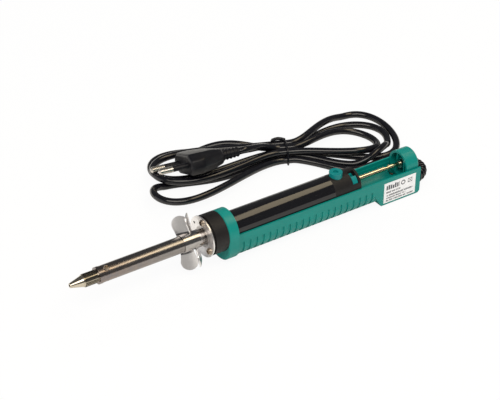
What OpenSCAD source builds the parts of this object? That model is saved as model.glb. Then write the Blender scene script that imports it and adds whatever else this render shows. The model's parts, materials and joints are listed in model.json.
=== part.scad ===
// Desoldering iron: heated suction nozzle, sprung plunger with a latch button, trough handle, corded plug.
// Millimetres, +Z up, nozzle towards -X. It stands on the ring's foot and on the underside of the rear box.

/* [Nozzle] */
// Length of the nozzle's taper
cone_l = 8; // [5:0.5:16]
// Outside diameter at the mouth
mouth_d = 2.8; // [2.4:0.1:4]
// Outside diameter at the foot of the taper
foot_d = 6.9; // [5.5:0.1:7.5]
// Bore through the nozzle
bore_d = 1.6; // [0.8:0.1:2]
// Diameter of the shank held in the tube
shank_d = 4.8; // [4.2:0.1:6]
// Length of the shank behind the knurled sleeve
shank_l = 9.7; // [8:0.1:14]

/* [Knurled sleeve] */
// Length of the sleeve
sleeve_l = 9.3; // [6:0.1:14]
// Diameter over the ridges
sleeve_d = 8; // [7.6:0.1:10]
// Ridges round the sleeve
ridges = 24; // [16:2:36]
// Width of a ridge
ridge_w = 0.5; // [0.3:0.05:0.8]
// Height of a ridge
ridge_h = 0.35; // [0.2:0.05:0.5]
// Plain lip at each end of the sleeve
sleeve_lip = 0.8; // [0.4:0.1:2]

/* [Heating tube] */
// Length of the tube from the sleeve to the flange plate
tube_l = 71.3; // [60:0.1:120]
// Outside diameter of the tube
tube_d = 10; // [9:0.1:13]
// Wall of the tube
tube_wall = 0.6; // [0.4:0.1:1]
// Length of the tube inside the front cap
tube_tuck = 5.4; // [4.8:0.1:6]
// Length of the ring that closes the tube
end_ring_l = 2; // [1:0.5:4]
// Diameter of that ring
end_ring_d = 10.4; // [9.6:0.1:13]
// Length of the ring's plug in the tube
end_plug_l = 6.7; // [5:0.1:9]
// Set screw behind the tube's front end
set_x = 5.5; // [4:0.1:7]
// Head diameter of the set screw
set_head_d = 3.6; // [2:0.1:4]
// Head height of the set screw
set_head_h = 1.3; // [0.8:0.1:2]
// Shank diameter of the set screw
set_shank_d = 2; // [1.5:0.1:2.5]
// Height above the axis where its head sits
set_seat = 4.55; // [4:0.05:5.5]
// Turn of the set screw about the tube, towards the near side
set_turn = 22; // [0:1:45]

/* [Suction tube and heater] */
// Outside diameter of the suction tube
suction_d = 4; // [3:0.1:5]
// Bore of the suction tube
suction_bore_d = 2.4; // [1.6:0.1:3]
// Length of the suction tube in the front chamber
suction_out = 5; // [2:0.5:10]
// Diameter of the ceramic core
core_d = 6.4; // [5:0.1:7]
// Diameter over the heating winding
winding_d = 7.8; // [6.8:0.1:8.4]
// Length of the winding
winding_l = 48; // [30:1:56]
// Turns drawn on the winding
winding_turns = 24; // [10:1:40]
// Depth between two turns
winding_groove = 0.3; // [0.1:0.05:0.4]
// Length of the insulator at the tube's rear
insulator_l = 8; // [5:0.5:12]
// Distance of each lead hole from the axis
lead_off = 3.1; // [2.9:0.05:3.2]
// Diameter of a sleeved heater lead
lead_d = 1.4; // [1:0.1:1.6]

/* [Heat guard] */
// Length of the collar on the tube
guard_l = 12; // [8:0.5:20]
// Gap from the collar to the flange plate
guard_gap = 2.6; // [1:0.1:10]
// Diameter of the collar
guard_d = 11; // [10.6:0.1:14]
// Reach of a blade from the axis
blade_reach = 16.6; // [12:0.1:20]
// Widest part of a blade
blade_w = 10.4; // [6:0.1:14]
// Thickness of the sheet
blade_t = 0.6; // [0.4:0.05:1]
// Bend radius of a blade
blade_bend = 14; // [10:0.5:30]
// Angle of the blades about the axis
blade_turn = 62.6; // [0:0.1:90]
// Twist of the front pair
front_twist = 35; // [0:1:60]
// Twist of the rear pair
rear_twist = 55; // [0:1:80]
// First pair behind the collar's front
front_pair_x = 2.8; // [2:0.1:5]
// Second pair behind the collar's front
rear_pair_x = 8.8; // [6:0.1:11]

/* [Flange and front cap] */
// Thickness of the flange plate
flange_t = 0.8; // [0.5:0.1:1.5]
// Diameter of the flange plate
flange_d = 25.8; // [22:0.1:32]
// Circle of the flange screws, radius
flange_screw_r = 10.1; // [9:0.1:11]
// Angle of the first flange screw
flange_screw_turn = 93; // [0:1:360]
// Number of flange screws
flange_screws_n = 3; // [2:1:4]
// Head diameter of a flange screw
flange_head_d = 4.2; // [3:0.1:5]
// Head height of a flange screw
flange_head_h = 1.4; // [0.8:0.1:2]
// Shank diameter of a flange screw
flange_shank_d = 2; // [1.5:0.1:2.5]
// Shank length of a flange screw
flange_shank_l = 6; // [4:0.5:9]
// Diameter of the small hole in the plate
peep_d = 1.8; // [1:0.1:3]
// Angle of the small hole
peep_turn = 33; // [0:1:360]
// Neck of the front cap behind the plate
cap_neck_l = 1.6; // [1:0.1:4]
// Diameter of the neck
cap_neck_d = 23.6; // [22:0.1:26]
// Length of the front cap's body
cap_l = 9; // [8:0.1:14]
// Diameter of the front cap's body
cap_d = 25.2; // [23:0.1:30]
// Length of the cap's spigot in the handle's ring
spigot_l = 6; // [4:0.1:6.5]
// Diameter of that spigot
spigot_d = 21.6; // [20:0.1:24]
// Front wall of the cap behind the plate
cap_wall = 3.6; // [3:0.1:5]
// Diameter of the wiring chamber
chamber_d = 16; // [12:0.1:17]
// Length of the barrel inside the cap's body
barrel_tuck = 0.5; // [0.2:0.1:2]
// Width of the wire slot in the cap
wire_slot_w = 5.2; // [4:0.1:7]
// Depth of the wire slot below the axis
wire_slot_z = 11; // [10.9:0.05:11.5]

/* [Barrel and seal] */
// Length of barrel that shows between ring and end cap
barrel_show_l = 73; // [50:1:120]
// Outside diameter of the barrel
barrel_d = 18.2; // [16:0.1:20]
// Wall of the barrel
barrel_wall = 1.2; // [0.8:0.1:2]
// Thickness of the seal's flange
seal_flange_t = 2; // [1:0.1:3]
// Length of the seal's plug in the barrel
seal_plug_l = 4.5; // [3:0.1:8]

/* [Barrel end cap] */
// Length of the end cap behind the barrel
end_cap_l = 19.5; // [16:0.1:26]
// Length of its spigot in the barrel
end_spigot_l = 8; // [5:0.5:12]
// Button centre behind the barrel's end
button_x = 5.9; // [5:0.1:8]
// Floor of the button pocket above the axis
pocket_z = 2.4; // [2.2:0.1:4]
// Width of the slot for the latch plate
slot_w = 4.5; // [4:0.1:6]
// Wall behind that slot
slot_wall = 1.5; // [1:0.1:3]

/* [Release button] */
// Diameter of the button
button_d = 8.4; // [6:0.1:10]
// Height of the button's top above the axis
button_top = 11.5; // [10:0.1:14]
// Height of the button's disc
button_h = 5.9; // [4:0.1:6]
// Travel of the button
button_travel = 1.8; // [1:0.1:2]
// Depth of the dimple in the button
dimple_h = 0.9; // [0.3:0.1:1.5]
// Diameter of the dimple
dimple_d = 3.2; // [1:0.1:5]
// Width of the arm to the latch plate
arm_w = 4.4; // [3:0.1:6]
// Height of the arm
arm_h = 2.6; // [1.5:0.1:4]
// Thickness of the latch plate
latch_t = 3.6; // [2:0.1:4]
// Half width of the latch plate
latch_half_w = 8.2; // [6:0.1:8.4]
// Width of the tab at the plate's near end
tab_w = 3.4; // [2:0.1:5]
// Far edge of the window beyond the middle plane
window_in = 0.8; // [0:0.1:3]
// Height of the latch plate above the axis
latch_top = 5.8; // [5:0.1:7]
// Sill of the latch plate under the rod
latch_sill = 0.9; // [0.5:0.1:1.5]
// Wire of the button's spring
button_wire_d = 0.4; // [0.3:0.05:0.5]
// Diameter of the button's spring
button_coil_d = 4.8; // [3:0.1:6]
// Curls of the button's spring
button_curls = 4; // [3:1:6]

/* [Plunger] */
// Travel of the plunger
stroke = 30; // [20:1:40]
// Length of rod from the end cap to the push head
rod_show_l = 35.7; // [32:0.1:60]
// Diameter of the rod
rod_d = 3; // [2.5:0.1:4]
// Length of the rod inside the push head
rod_tuck = 5.6; // [4:0.1:7]
// Latch groove in front of the push head
groove_x = 9.8; // [7:0.1:12]
// Width of the latch groove
groove_w = 2.4; // [1:0.1:4]
// Diameter left in the latch groove
groove_d = 2; // [1:0.1:2.5]
// Diameter of the piston
piston_d = 15; // [13:0.1:15.6]
// Length of the piston
piston_l = 11; // [8:0.5:16]
// Gap behind the piston at rest
rest_gap = 0.2; // [0:0.1:1]
// Section of the piston ring
oring_t = 1.4; // [1:0.1:2]
// Wire of the main spring
spring_wire_d = 1; // [0.8:0.1:1.4]
// Diameter over the main spring
spring_d = 12; // [9:0.1:14]
// Curls of the main spring
spring_curls = 14; // [8:1:20]

/* [Push head] */
// Length of the push head
head_l = 9.7; // [8:0.1:14]
// Diameter of the push head
head_d = 17.9; // [16:0.1:19]
// Wall of the push head's cup
head_wall = 1.5; // [1:0.1:3]
// Thickness of the cup's floor
head_floor = 1.9; // [1:0.1:3]
// Rounding of the rear edge
head_edge = 0.7; // [0.2:0.1:1.5]
// Distance of the two ribs from the middle
rib_off = 3.5; // [3:0.1:5]
// Thickness of a rib
rib_t = 1.2; // [0.8:0.1:2]
// Rib front edge behind the cup's rim
rib_back = 1.8; // [0.5:0.1:4]
// Diameter of the boss round the rod
boss_d = 6.4; // [5:0.1:8]
// Boss front behind the cup's rim
boss_back = 2.8; // [2:0.1:5]
// Width of the rod nut across its flats
nut_flats = 5.5; // [4.5:0.1:6]
// Thickness of the rod nut
nut_t = 2; // [1:0.1:3]
// Gap from the push head to the rear face
head_gap = 0.6; // [0:0.1:4]

/* [Handle] */
// Length of the handle's ring
ring_l = 7; // [6.6:0.1:12]
// Diameter of the ring
ring_d = 25.2; // [24:0.1:32]
// Drop of the ring's lower round
ring_drop = 6.9; // [4:0.1:10]
// Bevel of the ring's front edge
ring_bevel = 0.7; // [0.2:0.1:1.5]
// Half width of the trough
trough_half_w = 10.4; // [9.6:0.1:14]
// Drop of the trough's round below the axis
trough_drop = 8.8; // [7:0.1:12]
// Side wall of the trough's lower part
trough_wall = 1.5; // [1.1:0.1:3]
// Side wall of the trough's upper part
rim_wall = 1.1; // [0.8:0.1:2]
// Rim of the trough below the axis
rim_z = 0.4; // [0:0.1:4]
// Where the upper part's wall ends, below the axis
upper_z = 3; // [2:0.1:5]
// Length of the rear box at its underside
box_l = 30; // [24:0.5:40]
// Length of the slope in front of the box
box_slope_l = 7; // [3:0.5:12]
// Where the slope starts, below the axis
box_slope_z = 8; // [4:0.5:12]
// Bevel at the box's rear foot
box_bevel = 2; // [0.5:0.1:4]
// Small bevel along the box's lower edges
box_edge = 0.6; // [0.2:0.1:1.5]
// Floor of the box
box_floor = 1.8; // [1:0.1:3]
// Rear wall
rear_wall = 1.8; // [1.2:0.1:3]
// Grip grooves
grooves = 21; // [8:1:30]
// Pitch of the grip grooves
groove_pitch = 4.8; // [3:0.1:8]
// Width of a grip groove
grip_w = 1.8; // [1:0.1:3]
// Depth of a grip groove
grip_h = 0.5; // [0.2:0.1:0.8]
// Top of the grip grooves below the axis
grip_top = 6.4; // [3:0.1:8]
// First grip groove behind the ring's rear face
grip_start = 3.2; // [1:0.1:10]
// Saddle ribs that carry the barrel
saddles = 3; // [2:1:4]
// Thickness of a saddle rib
saddle_t = 2; // [1:0.1:3]
// Wire notch of a saddle rib, half width
notch_half_w = 5; // [3:0.1:6]
// Wire notch of a saddle rib, top below the axis
notch_top = 13.5; // [12:0.1:15]

/* [Wiring box] */
// Front end of the cover in front of the rear wall
cover_l = 44.5; // [38:0.5:60]
// Underside of the cover below the axis
cover_bottom = 11.3; // [10.5:0.1:12]
// Flat top of the cover's sides below the axis
cover_top = 5.2; // [4:0.1:7]
// Radius of the channel in the cover
channel_r = 9.3; // [9.1:0.05:9.6]
// Front cover screw in front of the rear wall
cover_screw_x = 37; // [34:0.5:42]
// Rear cover screw in front of the rear wall
rear_screw_x = 9.7; // [9:0.1:10]
// Rear cover screw off the middle
rear_screw_y = 4.6; // [4.5:0.05:5]
// Seat of the cover screws below the axis
cover_seat = 10.4; // [10:0.1:11]
// Head diameter of a small screw
small_head_d = 3.8; // [3:0.1:4.2]
// Head height of a small screw
small_head_h = 0.9; // [0.6:0.1:1.2]
// Shank diameter of a small screw
small_shank_d = 1.8; // [1.4:0.1:2.2]
// Shank length of a cover screw
cover_shank_l = 5.5; // [4:0.5:6]
// Diameter of a screw post
post_d = 4.4; // [4:0.1:5]
// Front of the terminal block before the rear wall
block_x = 26.7; // [26:0.1:27]
// Length of the terminal block
block_l = 12; // [8:0.5:14]
// Width of the terminal block
block_w = 13; // [10:0.5:15]
// Height of the terminal block
block_h = 5.5; // [4.5:0.1:6]
// Distance of a way from the middle
way_off = 3.2; // [2.5:0.1:4]
// Centre of the ways below the axis
way_z = 15.5; // [15:0.1:16]
// Head diameter of a terminal screw
way_head_d = 2.4; // [1.6:0.1:2.8]
// Height of a terminal screw's head
way_head_h = 0.8; // [0.5:0.1:1]
// Distance between a way's two screws
way_pitch = 6; // [4:0.1:8]
// Rear of the cord clamp before the rear wall
clamp_gap = 2.2; // [1:0.1:4]
// Length of the cord clamp
clamp_l = 4; // [3:0.1:5]
// Width of the cord clamp
clamp_w = 13; // [11:0.1:14]
// Height of the clamp's ears over the cord's centre
ear_h = 1.6; // [1:0.1:2]
// Height of the clamp's arch over the cord's centre
arch_h = 2.8; // [2.6:0.1:2.9]
// Clamp screws off the middle
clamp_screw_y = 4.5; // [4.3:0.1:5]

/* [Label] */
// Length of the label plate
label_l = 24.9; // [15:0.1:30]
// Height of the label plate
label_h = 14.6; // [8:0.1:16]
// Thickness of the label plate
label_t = 0.3; // [0.2:0.05:0.5]
// Depth of the label's recess
label_recess = 0.15; // [0.1:0.05:0.3]
// Rear edge of the label before the rear face
label_x = 3.9; // [2:0.1:10]
// Top edge of the label below the axis
label_z = 3.1; // [1:0.1:6]

/* [Cord] */
// Diameter of the mains cord
cord_d = 4.6; // [4:0.1:6]
// Diameter of a core in the cord
core_wire_d = 1.4; // [1:0.1:1.6]
// Height of the cord's exit below the axis
cord_z = 14.2; // [13:0.1:15]
// Length of cord inside the box
inner_cord_l = 12; // [10:0.5:14]
// Foot diameter of the strain relief
relief_d = 10.2; // [8:0.1:10.4]
// End diameter of the strain relief
relief_end_d = 6.2; // [5.4:0.1:8]
// Neck of the strain relief in the wall
relief_neck_d = 7; // [6:0.1:8]
// Bend radius of the strain relief
relief_bend = 11; // [10:0.5:30]
// Bend of the strain relief in degrees
relief_turn = 100; // [0:5:100]
// Straight part of the strain relief
relief_straight = 4; // [2:0.5:10]
// Ribs of the strain relief
relief_ribs = 10; // [4:1:14]
// Depth between two ribs
relief_rib_h = 0.9; // [0.3:0.1:1.2]
// Wire of the tie round the cord
tie_d = 1.2; // [0.8:0.1:2]
// Rings of the cord in each lobe of the bundle
lobe_rings = 24; // [12:1:24]

/* [Plug] */
// Width of the plug's body
plug_w = 35.3; // [30:0.1:36]
// Thickness of the plug's body
plug_t = 13.7; // [12:0.1:15]
// Length of the plug's body
plug_l = 26; // [24:0.5:40]
// Width of the body's rear end
plug_end_w = 15; // [12:0.5:20]
// Thickness of the body's rear end
plug_end_t = 9.5; // [8:0.1:12]
// Flat at the body's two edges
plug_edge_t = 5.4; // [4:0.1:8]
// Bevel round the pin face
plug_bevel = 1.6; // [0.5:0.1:3]
// Full width behind the pin face
plug_wide_x = 9; // [6:0.5:14]
// Length of the plug's strain relief
plug_relief_l = 12; // [8:0.5:20]
// Foot diameter of the plug's strain relief
plug_relief_d = 7.6; // [6:0.1:10]
// Ribs of the plug's strain relief
plug_ribs = 5; // [3:1:8]
// Diameter of a pin
pin_d = 4; // [4:0.1:4.8]
// Length of a pin
pin_l = 19; // [19:0.1:19]
// Bare end of a pin
pin_bare_l = 9; // [9:0.1:10]
// Distance between the pins at the plug's face
pin_pitch = 18.6; // [17:0.1:19]
// Lean of each pin towards the other in degrees
pin_lean = 1.6; // [0:0.1:2]

/* [Fits] */
// Gap all round between fitted pieces
fit_gap = 0.05; // [0.03:0.01:0.08]
// Running gap of sliding pieces
slide_gap = 0.07; // [0.05:0.01:0.1]
// Free gap of loose and moving pieces
free_gap = 0.3; // [0.2:0.05:0.5]

/* [Hidden] */
$fn = 64;
over = 0.5;
// Cross recess of a screw, as shares of its head
recess_w_share = 0.2;
recess_l_share = 0.66;
recess_h_share = 0.55;
crown_h_share = 0.45;
crown_d_share = 0.7;
plug_mid_share = 0.65;
// Places along the axis, counted from the mouth
sleeve_x = cone_l;
tube_x = sleeve_x + sleeve_l;
flange_x = tube_x + tube_l;
cap_x = flange_x + flange_t;
cap_body_x = cap_x + cap_neck_l;
ring_x = cap_body_x + cap_l;
ring_end_x = ring_x + ring_l;
barrel_x = ring_x - barrel_tuck;
barrel_end_x = ring_end_x + barrel_show_l;
end_cap_end_x = barrel_end_x + end_cap_l;
head_x = end_cap_end_x + rod_show_l;
head_end_x = head_x + head_l;
body_l = head_end_x + head_gap;
wall_x = body_l - rear_wall;
axis_z = ring_drop + ring_d / 2;
// Tube, heater and seal
tube_bore_d = tube_d - 2 * tube_wall;
plug_end_x = tube_x + end_ring_l + end_plug_l;
shank_end_x = tube_x + shank_l;
tube_end_x = flange_x + tube_tuck;
insulator_x = tube_end_x - insulator_l;
seal_x = barrel_x - seal_flange_t;
seal_end_x = barrel_x + seal_plug_l;
suction_end_x = seal_end_x + suction_out;
barrel_bore_d = barrel_d - 2 * barrel_wall;
guard_x = flange_x - guard_gap - guard_l;
// Plunger
piston_end_x = barrel_end_x - end_spigot_l - rest_gap;
piston_x = piston_end_x - piston_l;
rod_x = piston_x + 1;
rod_end_x = head_x + rod_tuck;
oring_r = barrel_bore_d / 2 - slide_gap - oring_t / 2;
// Latch and button
button_cx = barrel_end_x + button_x;
slot_end_x = end_cap_end_x - slot_wall;
slot_x = slot_end_x - slot_w;
latch_x = slot_x + (slot_w - latch_t) / 2;
latch_foot = -(rod_d / 2 + free_gap + latch_sill);
latch_r = barrel_d / 2 - free_gap - slide_gap;
slot_floor = latch_foot - button_travel - free_gap;
slot_half_w = latch_half_w + slide_gap;
button_seat = button_top - button_h;
arm_z = pocket_z + button_travel + free_gap;
slot_roof = max(latch_top, arm_z + arm_h) + slide_gap;
// Handle
ring_r = ring_d / 2;
box_x = body_l - box_l;
box_inner_x = box_x + rear_wall / 2;
floor_z = -(axis_z - box_floor);
saddle_d = barrel_d + 2 * fit_gap;
lower_half_w = trough_half_w - trough_wall;
upper_half_w = trough_half_w - rim_wall;
cover_x = wall_x - cover_l;
strap_end_x = wall_x - clamp_gap;
strap_x = strap_end_x - clamp_l;
terminal_x = wall_x - block_x;
inner_cord_x = wall_x - inner_cord_l;
label_cx = body_l - label_x - label_l;
// The cord's bundle: waist, direction, slots beside and over each other, and the sines of each lobe
cord_r = cord_d / 2;
ground_z = cord_r - axis_z;
waist = [198, 70];
waist_turn = -25;
layer_h = 5;
lift_round = 0.02;
relief_tip = 0.6;
waist_slots = [[-7.9, 0], [-2.65, 0], [7.9, 0], [2.65, 0], [5.25, 1], [-5.25, 1], [0, 1]];
lobe_reach = [[-75.49, 4.46, 15.5], [61.07, 3.46, -9.03], [-75.88, -8.34, 12.77], [64.36, -2.34, -11.26],
    [-73.06, 3.87, 15.89], [54.78, 1.87, -6.84]];
lobe_side = [[-34.27, -5.55, 6.07, 6.79], [7, -16.28, -4, 5.92], [-10.94, 8.61, 4.21, -5.94],
    [10.02, -20.43, 2.85, 9.87], [-14.77, 10.32, 1.56, -6.13], [7.13, -10.45, -1.28, 4.77]];
lobe_lift = [[0.38, 0.86, -0.45, -0.21], [-1.6, 1.18, 0.54, -1.47], [-3.04, 2.33, -0.58, 0.77],
    [-3.06, -2.5, -1.1, 0.01], [0.1, 0.01, 0.01, 0.04], [-0.39, 0.19, 0.33, -0.18]];
waist_way = [cos(waist_turn), sin(waist_turn), 0];
// Free stretches of the cord, from the strain relief to the waist and from the waist to the plug
lead_route = [[258, 21.7, -14.7], [255.3, 25.2, -15.5], [251.5, 27.7, -16.3], [247.2, 28.9, -16.9],
    [242.7, 29, -17.2], [238, 29, -17.2], [233.2, 29, -17.2], [228.4, 29.4, -17.2], [224, 31, -17.2],
    [220, 33.6, -17.2], [216.9, 37.2, -17.2], [214.2, 41.2, -17.2], [211.6, 45.4, -17.2],
    [208.8, 49.8, -17.2], [205.8, 54, -17.2], [202.6, 58, -17.2]];
tail_route = [[189.4, 73.3, -11.1], [184.8, 73.6, -9.1], [180, 72.7, -6.9], [175, 71, -4.8], [170, 69.7, -3.3]];
// The plug's place: middle of its pin face, and its roll, tilt and heading
plug_at = [123.3, 76.8, -3];
plug_turn = [27.4, 1.2, 169.6];

// Helpers: a place on the axis, a turned shape, a slice across the axis
module at_axis(x) {
    translate([x - body_l / 2, 0, axis_z])
        children();
}

module lathe(x) {
    at_axis(x)
        rotate([0, 90, 0])
            rotate_extrude()
                children();
}

module slice(x, l) {
    at_axis(x)
        rotate([90, 0, 90])
            linear_extrude(height = l)
                children();
}

module rod(x, l, d) {
    at_axis(x)
        rotate([0, 90, 0])
            cylinder(h = l, d = d);
}

module bored(x, l, d, bore) {
    difference() {
        rod(x, l, d);
        rod(x - over, l + 2 * over, bore);
    }
}

module brick(x, l, half_w, z, h) {
    at_axis(x)
        translate([0, -half_w, z])
            cube([l, 2 * half_w, h]);
}

module post(x, y, z, h, d) {
    at_axis(x)
        translate([0, y, z])
            cylinder(h = h, d = d);
}

// A screw with its head above zero and its shank below
module screw(head_d, head_h, shank_d, shank_l) {
    recess_l = head_d * recess_l_share;
    recess_w = head_d * recess_w_share;
    recess_h = head_h * recess_h_share;
    difference() {
        rotate_extrude()
            polygon([[0, -shank_l], [shank_d / 2, -shank_l], [shank_d / 2, 0], [head_d / 2, 0],
                [head_d / 2, head_h * crown_h_share], [head_d / 2 * crown_d_share, head_h], [0, head_h]]);
        for (a = [0, 90])
            rotate(a)
                translate([-recess_l / 2, -recess_w / 2, head_h - recess_h])
                    cube([recess_l, recess_w, recess_h + over]);
    }
}

// A closed tube through points, each ring with its own radius; frames carried by a fixed side vector
function unit(v) = v / norm(v);
function way(p, i) = unit(p[min(i + 1, len(p) - 1)] - p[max(i - 1, 0)]);
function ring_at(p, i, r, n, side) =
    let (t = way(p, i), a = unit(cross(t, side)), b = cross(a, t))
    [for (k = [0:n - 1]) p[i] + r * (cos(360 * k / n) * a + sin(360 * k / n) * b)];

module swept(p, radii, n, side) {
    m = len(p);
    skin = [for (i = [0:m - 1]) each ring_at(p, i, radii[i], n, side)];
    points = concat(skin, [p[0], p[m - 1]]);
    walls = [for (i = [0:m - 2]) for (k = [0:n - 1])
        each [[i * n + k, i * n + (k + 1) % n, (i + 1) * n + (k + 1) % n],
            [i * n + k, (i + 1) * n + (k + 1) % n, (i + 1) * n + k]]];
    caps = [for (k = [0:n - 1]) each [[m * n, (k + 1) % n, k],
        [m * n + 1, (m - 1) * n + k, (m - 1) * n + (k + 1) % n]]];
    polyhedron(points = points, faces = concat(walls, caps), convexity = 10);
}

// A coil about the vertical, wire centre radius r, from z = 0 to z = h
module coil(r, wire_r, h, curls) {
    steps = curls * 8;
    route = [for (i = [0:steps]) [r * cos(45 * i), r * sin(45 * i), wire_r + (h - 2 * wire_r) * i / steps]];
    swept(route, [for (i = [0:steps]) wire_r], 6, [0, 0, 1]);
}

// Nozzle end
module nozzle() {
    color("Gainsboro")
        difference() {
            lathe(0)
                polygon([[0, 0], [mouth_d / 2, 0], [foot_d / 2, cone_l], [shank_d / 2, cone_l],
                    [shank_d / 2, shank_end_x], [0, shank_end_x]]);
            rod(-over, shank_end_x + 2 * over, bore_d);
        }
}

module knurled_sleeve() {
    root_d = sleeve_d - 2 * ridge_h;
    color("Silver")
        difference() {
            union() {
                rod(sleeve_x, sleeve_l, root_d);
                slice(sleeve_x + sleeve_lip, sleeve_l - 2 * sleeve_lip)
                    for (i = [0:ridges - 1])
                        rotate(360 * i / ridges)
                            translate([0, -ridge_w / 2])
                                square([sleeve_d / 2, ridge_w]);
            }
            rod(sleeve_x - over, sleeve_l + 2 * over, shank_d + 2 * fit_gap);
        }
}

// Turns what stands on the tube's top towards the near side
module turned_set() {
    translate([0, 0, axis_z])
        rotate([set_turn, 0, 0])
            translate([0, 0, -axis_z])
                children();
}

module set_hole(d, z) {
    turned_set()
        post(tube_x + set_x, 0, z, tube_d, d);
}

module tube_end_ring() {
    color("Gray")
        difference() {
            union() {
                rod(tube_x, end_ring_l, end_ring_d);
                rod(tube_x, plug_end_x - tube_x, tube_bore_d - 2 * fit_gap);
            }
            rod(tube_x - over, plug_end_x - tube_x + 2 * over, shank_d + 2 * fit_gap);
            set_hole(set_shank_d + 2 * fit_gap, 0);
        }
}

module heater_tube() {
    start = tube_x + end_ring_l;
    color("DimGray")
        difference() {
            bored(start, tube_end_x - start, tube_d, tube_bore_d);
            set_hole(set_shank_d + 2 * fit_gap, 0);
            set_hole(set_head_d + 2 * fit_gap, set_seat);
        }
}

module set_screw() {
    color("Peru")
        turned_set()
            at_axis(tube_x + set_x)
                translate([0, 0, set_seat])
                    screw(set_head_d, set_head_h, set_shank_d, set_seat - shank_d / 2 - fit_gap);
}

module suction_tube() {
    color("Silver")
        bored(shank_end_x, suction_end_x - shank_end_x, suction_d, suction_bore_d);
}

module heater_core() {
    color("White")
        bored(shank_end_x, insulator_x - shank_end_x, core_d, suction_d + 2 * fit_gap);
}

module heater_winding() {
    start = (shank_end_x + insulator_x - winding_l) / 2;
    pitch = winding_l / winding_turns;
    low_r = winding_d / 2 - winding_groove;
    inner_r = core_d / 2 + fit_gap;
    color("RosyBrown")
        lathe(start)
            polygon(concat([[inner_r, 0]],
                [for (i = [0:winding_turns - 1]) each [[low_r, pitch * i], [winding_d / 2, pitch * (i + 0.5)]]],
                [[low_r, winding_l], [inner_r, winding_l]]));
}

// One blade, its reach along Z and its width along X
module blade() {
    top = blade_reach - blade_w / 2;
    intersection() {
        rotate([90, 0, 0])
            linear_extrude(height = 2 * blade_reach, center = true)
                union() {
                    translate([0, top])
                        circle(d = blade_w);
                    polygon([[-guard_d / 4, 0], [guard_d / 4, 0], [blade_w / 2, top], [-blade_w / 2, top]]);
                }
        translate([0, blade_bend, 0])
            difference() {
                cylinder(h = 2 * blade_reach, r = blade_bend + blade_t / 2);
                cylinder(h = 4 * blade_reach + over, r = blade_bend - blade_t / 2, center = true);
            }
        translate([-blade_w, -blade_bend, 0])
            cube([2 * blade_w, 2 * blade_bend, 2 * blade_reach]);
    }
}

module heat_guard() {
    color("LightGray")
        difference() {
            union() {
                rod(guard_x, guard_l, guard_d);
                for (side = [0, 180])
                    for (pair = [[front_pair_x, -front_twist], [rear_pair_x, rear_twist]])
                        at_axis(guard_x + pair[0])
                            rotate([blade_turn - 90 + side, 0, 0])
                                rotate(side == 0 ? pair[1] : -pair[1])
                                    blade();
            }
            rod(guard_x - 2 * blade_w, guard_l + 4 * blade_w, tube_d + 2 * fit_gap);
        }
}

module around_flange() {
    for (i = [0:flange_screws_n - 1])
        at_axis(flange_x)
            rotate([flange_screw_turn + 360 * i / flange_screws_n - 90, 0, 0])
                translate([0, 0, flange_screw_r])
                    rotate([0, -90, 0])
                        children();
}

module flange_holes(d) {
    around_flange()
        translate([0, 0, -flange_shank_l - over])
            cylinder(h = flange_shank_l + 2 * over, d = d);
}

module flange_plate() {
    color("LightGray")
        difference() {
            bored(flange_x, flange_t, flange_d, tube_d + 2 * fit_gap);
            flange_holes(flange_shank_d + 2 * fit_gap);
            at_axis(flange_x - over)
                rotate([peep_turn - 90, 0, 0])
                    translate([0, 0, flange_screw_r])
                        rotate([0, 90, 0])
                            cylinder(h = flange_t + 2 * over, d = peep_d);
        }
}

module flange_screws() {
    color("Peru")
        around_flange()
            screw(flange_head_d, flange_head_h, flange_shank_d, flange_shank_l);
}

module insulator() {
    color("Ivory")
        difference() {
            bored(insulator_x, insulator_l, tube_bore_d - 2 * fit_gap, suction_d + 2 * fit_gap);
            for (s = [-1, 1])
                at_axis(insulator_x - over)
                    translate([0, s * lead_off, 0])
                        rotate([0, 90, 0])
                            cylinder(h = insulator_l + 2 * over, d = lead_d + 2 * fit_gap);
        }
}

module front_cap() {
    spigot_end = ring_x + spigot_l;
    color("#202022")
        difference() {
            union() {
                rod(cap_x, cap_neck_l, cap_neck_d);
                rod(cap_body_x, cap_l, cap_d);
                rod(ring_x, spigot_l, spigot_d);
            }
            rod(cap_x - over, cap_wall + 2 * over, tube_d + 2 * fit_gap);
            rod(cap_x + cap_wall, seal_x - cap_x - cap_wall + over, chamber_d);
            rod(seal_x, spigot_end - seal_x + over, barrel_d + 2 * fit_gap);
            brick(cap_x + cap_wall, spigot_end - cap_x - cap_wall + over, wire_slot_w / 2,
                -wire_slot_z, wire_slot_z - chamber_d / 4);
            flange_holes(flange_shank_d + 2 * fit_gap);
        }
}

module front_seal() {
    color("IndianRed")
        difference() {
            union() {
                rod(seal_x, seal_flange_t, barrel_d);
                rod(seal_x, seal_end_x - seal_x, barrel_bore_d - 2 * fit_gap);
            }
            rod(seal_x - over, seal_end_x - seal_x + 2 * over, suction_d + 2 * fit_gap);
        }
}

module barrel() {
    color("#101012")
        bored(barrel_x, barrel_end_x - barrel_x, barrel_d, barrel_bore_d);
}

module barrel_end_cap() {
    start = barrel_end_x - end_spigot_l;
    color("#18181a")
        difference() {
            union() {
                rod(start, end_spigot_l, barrel_bore_d - 2 * fit_gap);
                rod(barrel_end_x, end_cap_l, barrel_d);
            }
            rod(start - over, end_spigot_l + end_cap_l + 2 * over, rod_d + 2 * slide_gap);
            post(button_cx, 0, pocket_z, barrel_d, button_d + 2 * fit_gap + 2 * slide_gap);
            brick(button_cx, slot_x - button_cx + over, arm_w / 2 + slide_gap, pocket_z,
                arm_z + arm_h + slide_gap - pocket_z);
            brick(slot_x, slot_w, slot_half_w, slot_floor, slot_roof - slot_floor);
            at_axis(slot_x)
                translate([0, -slot_half_w, slot_roof - over])
                    cube([slot_w, slot_half_w - window_in, barrel_d]);
        }
}

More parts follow.
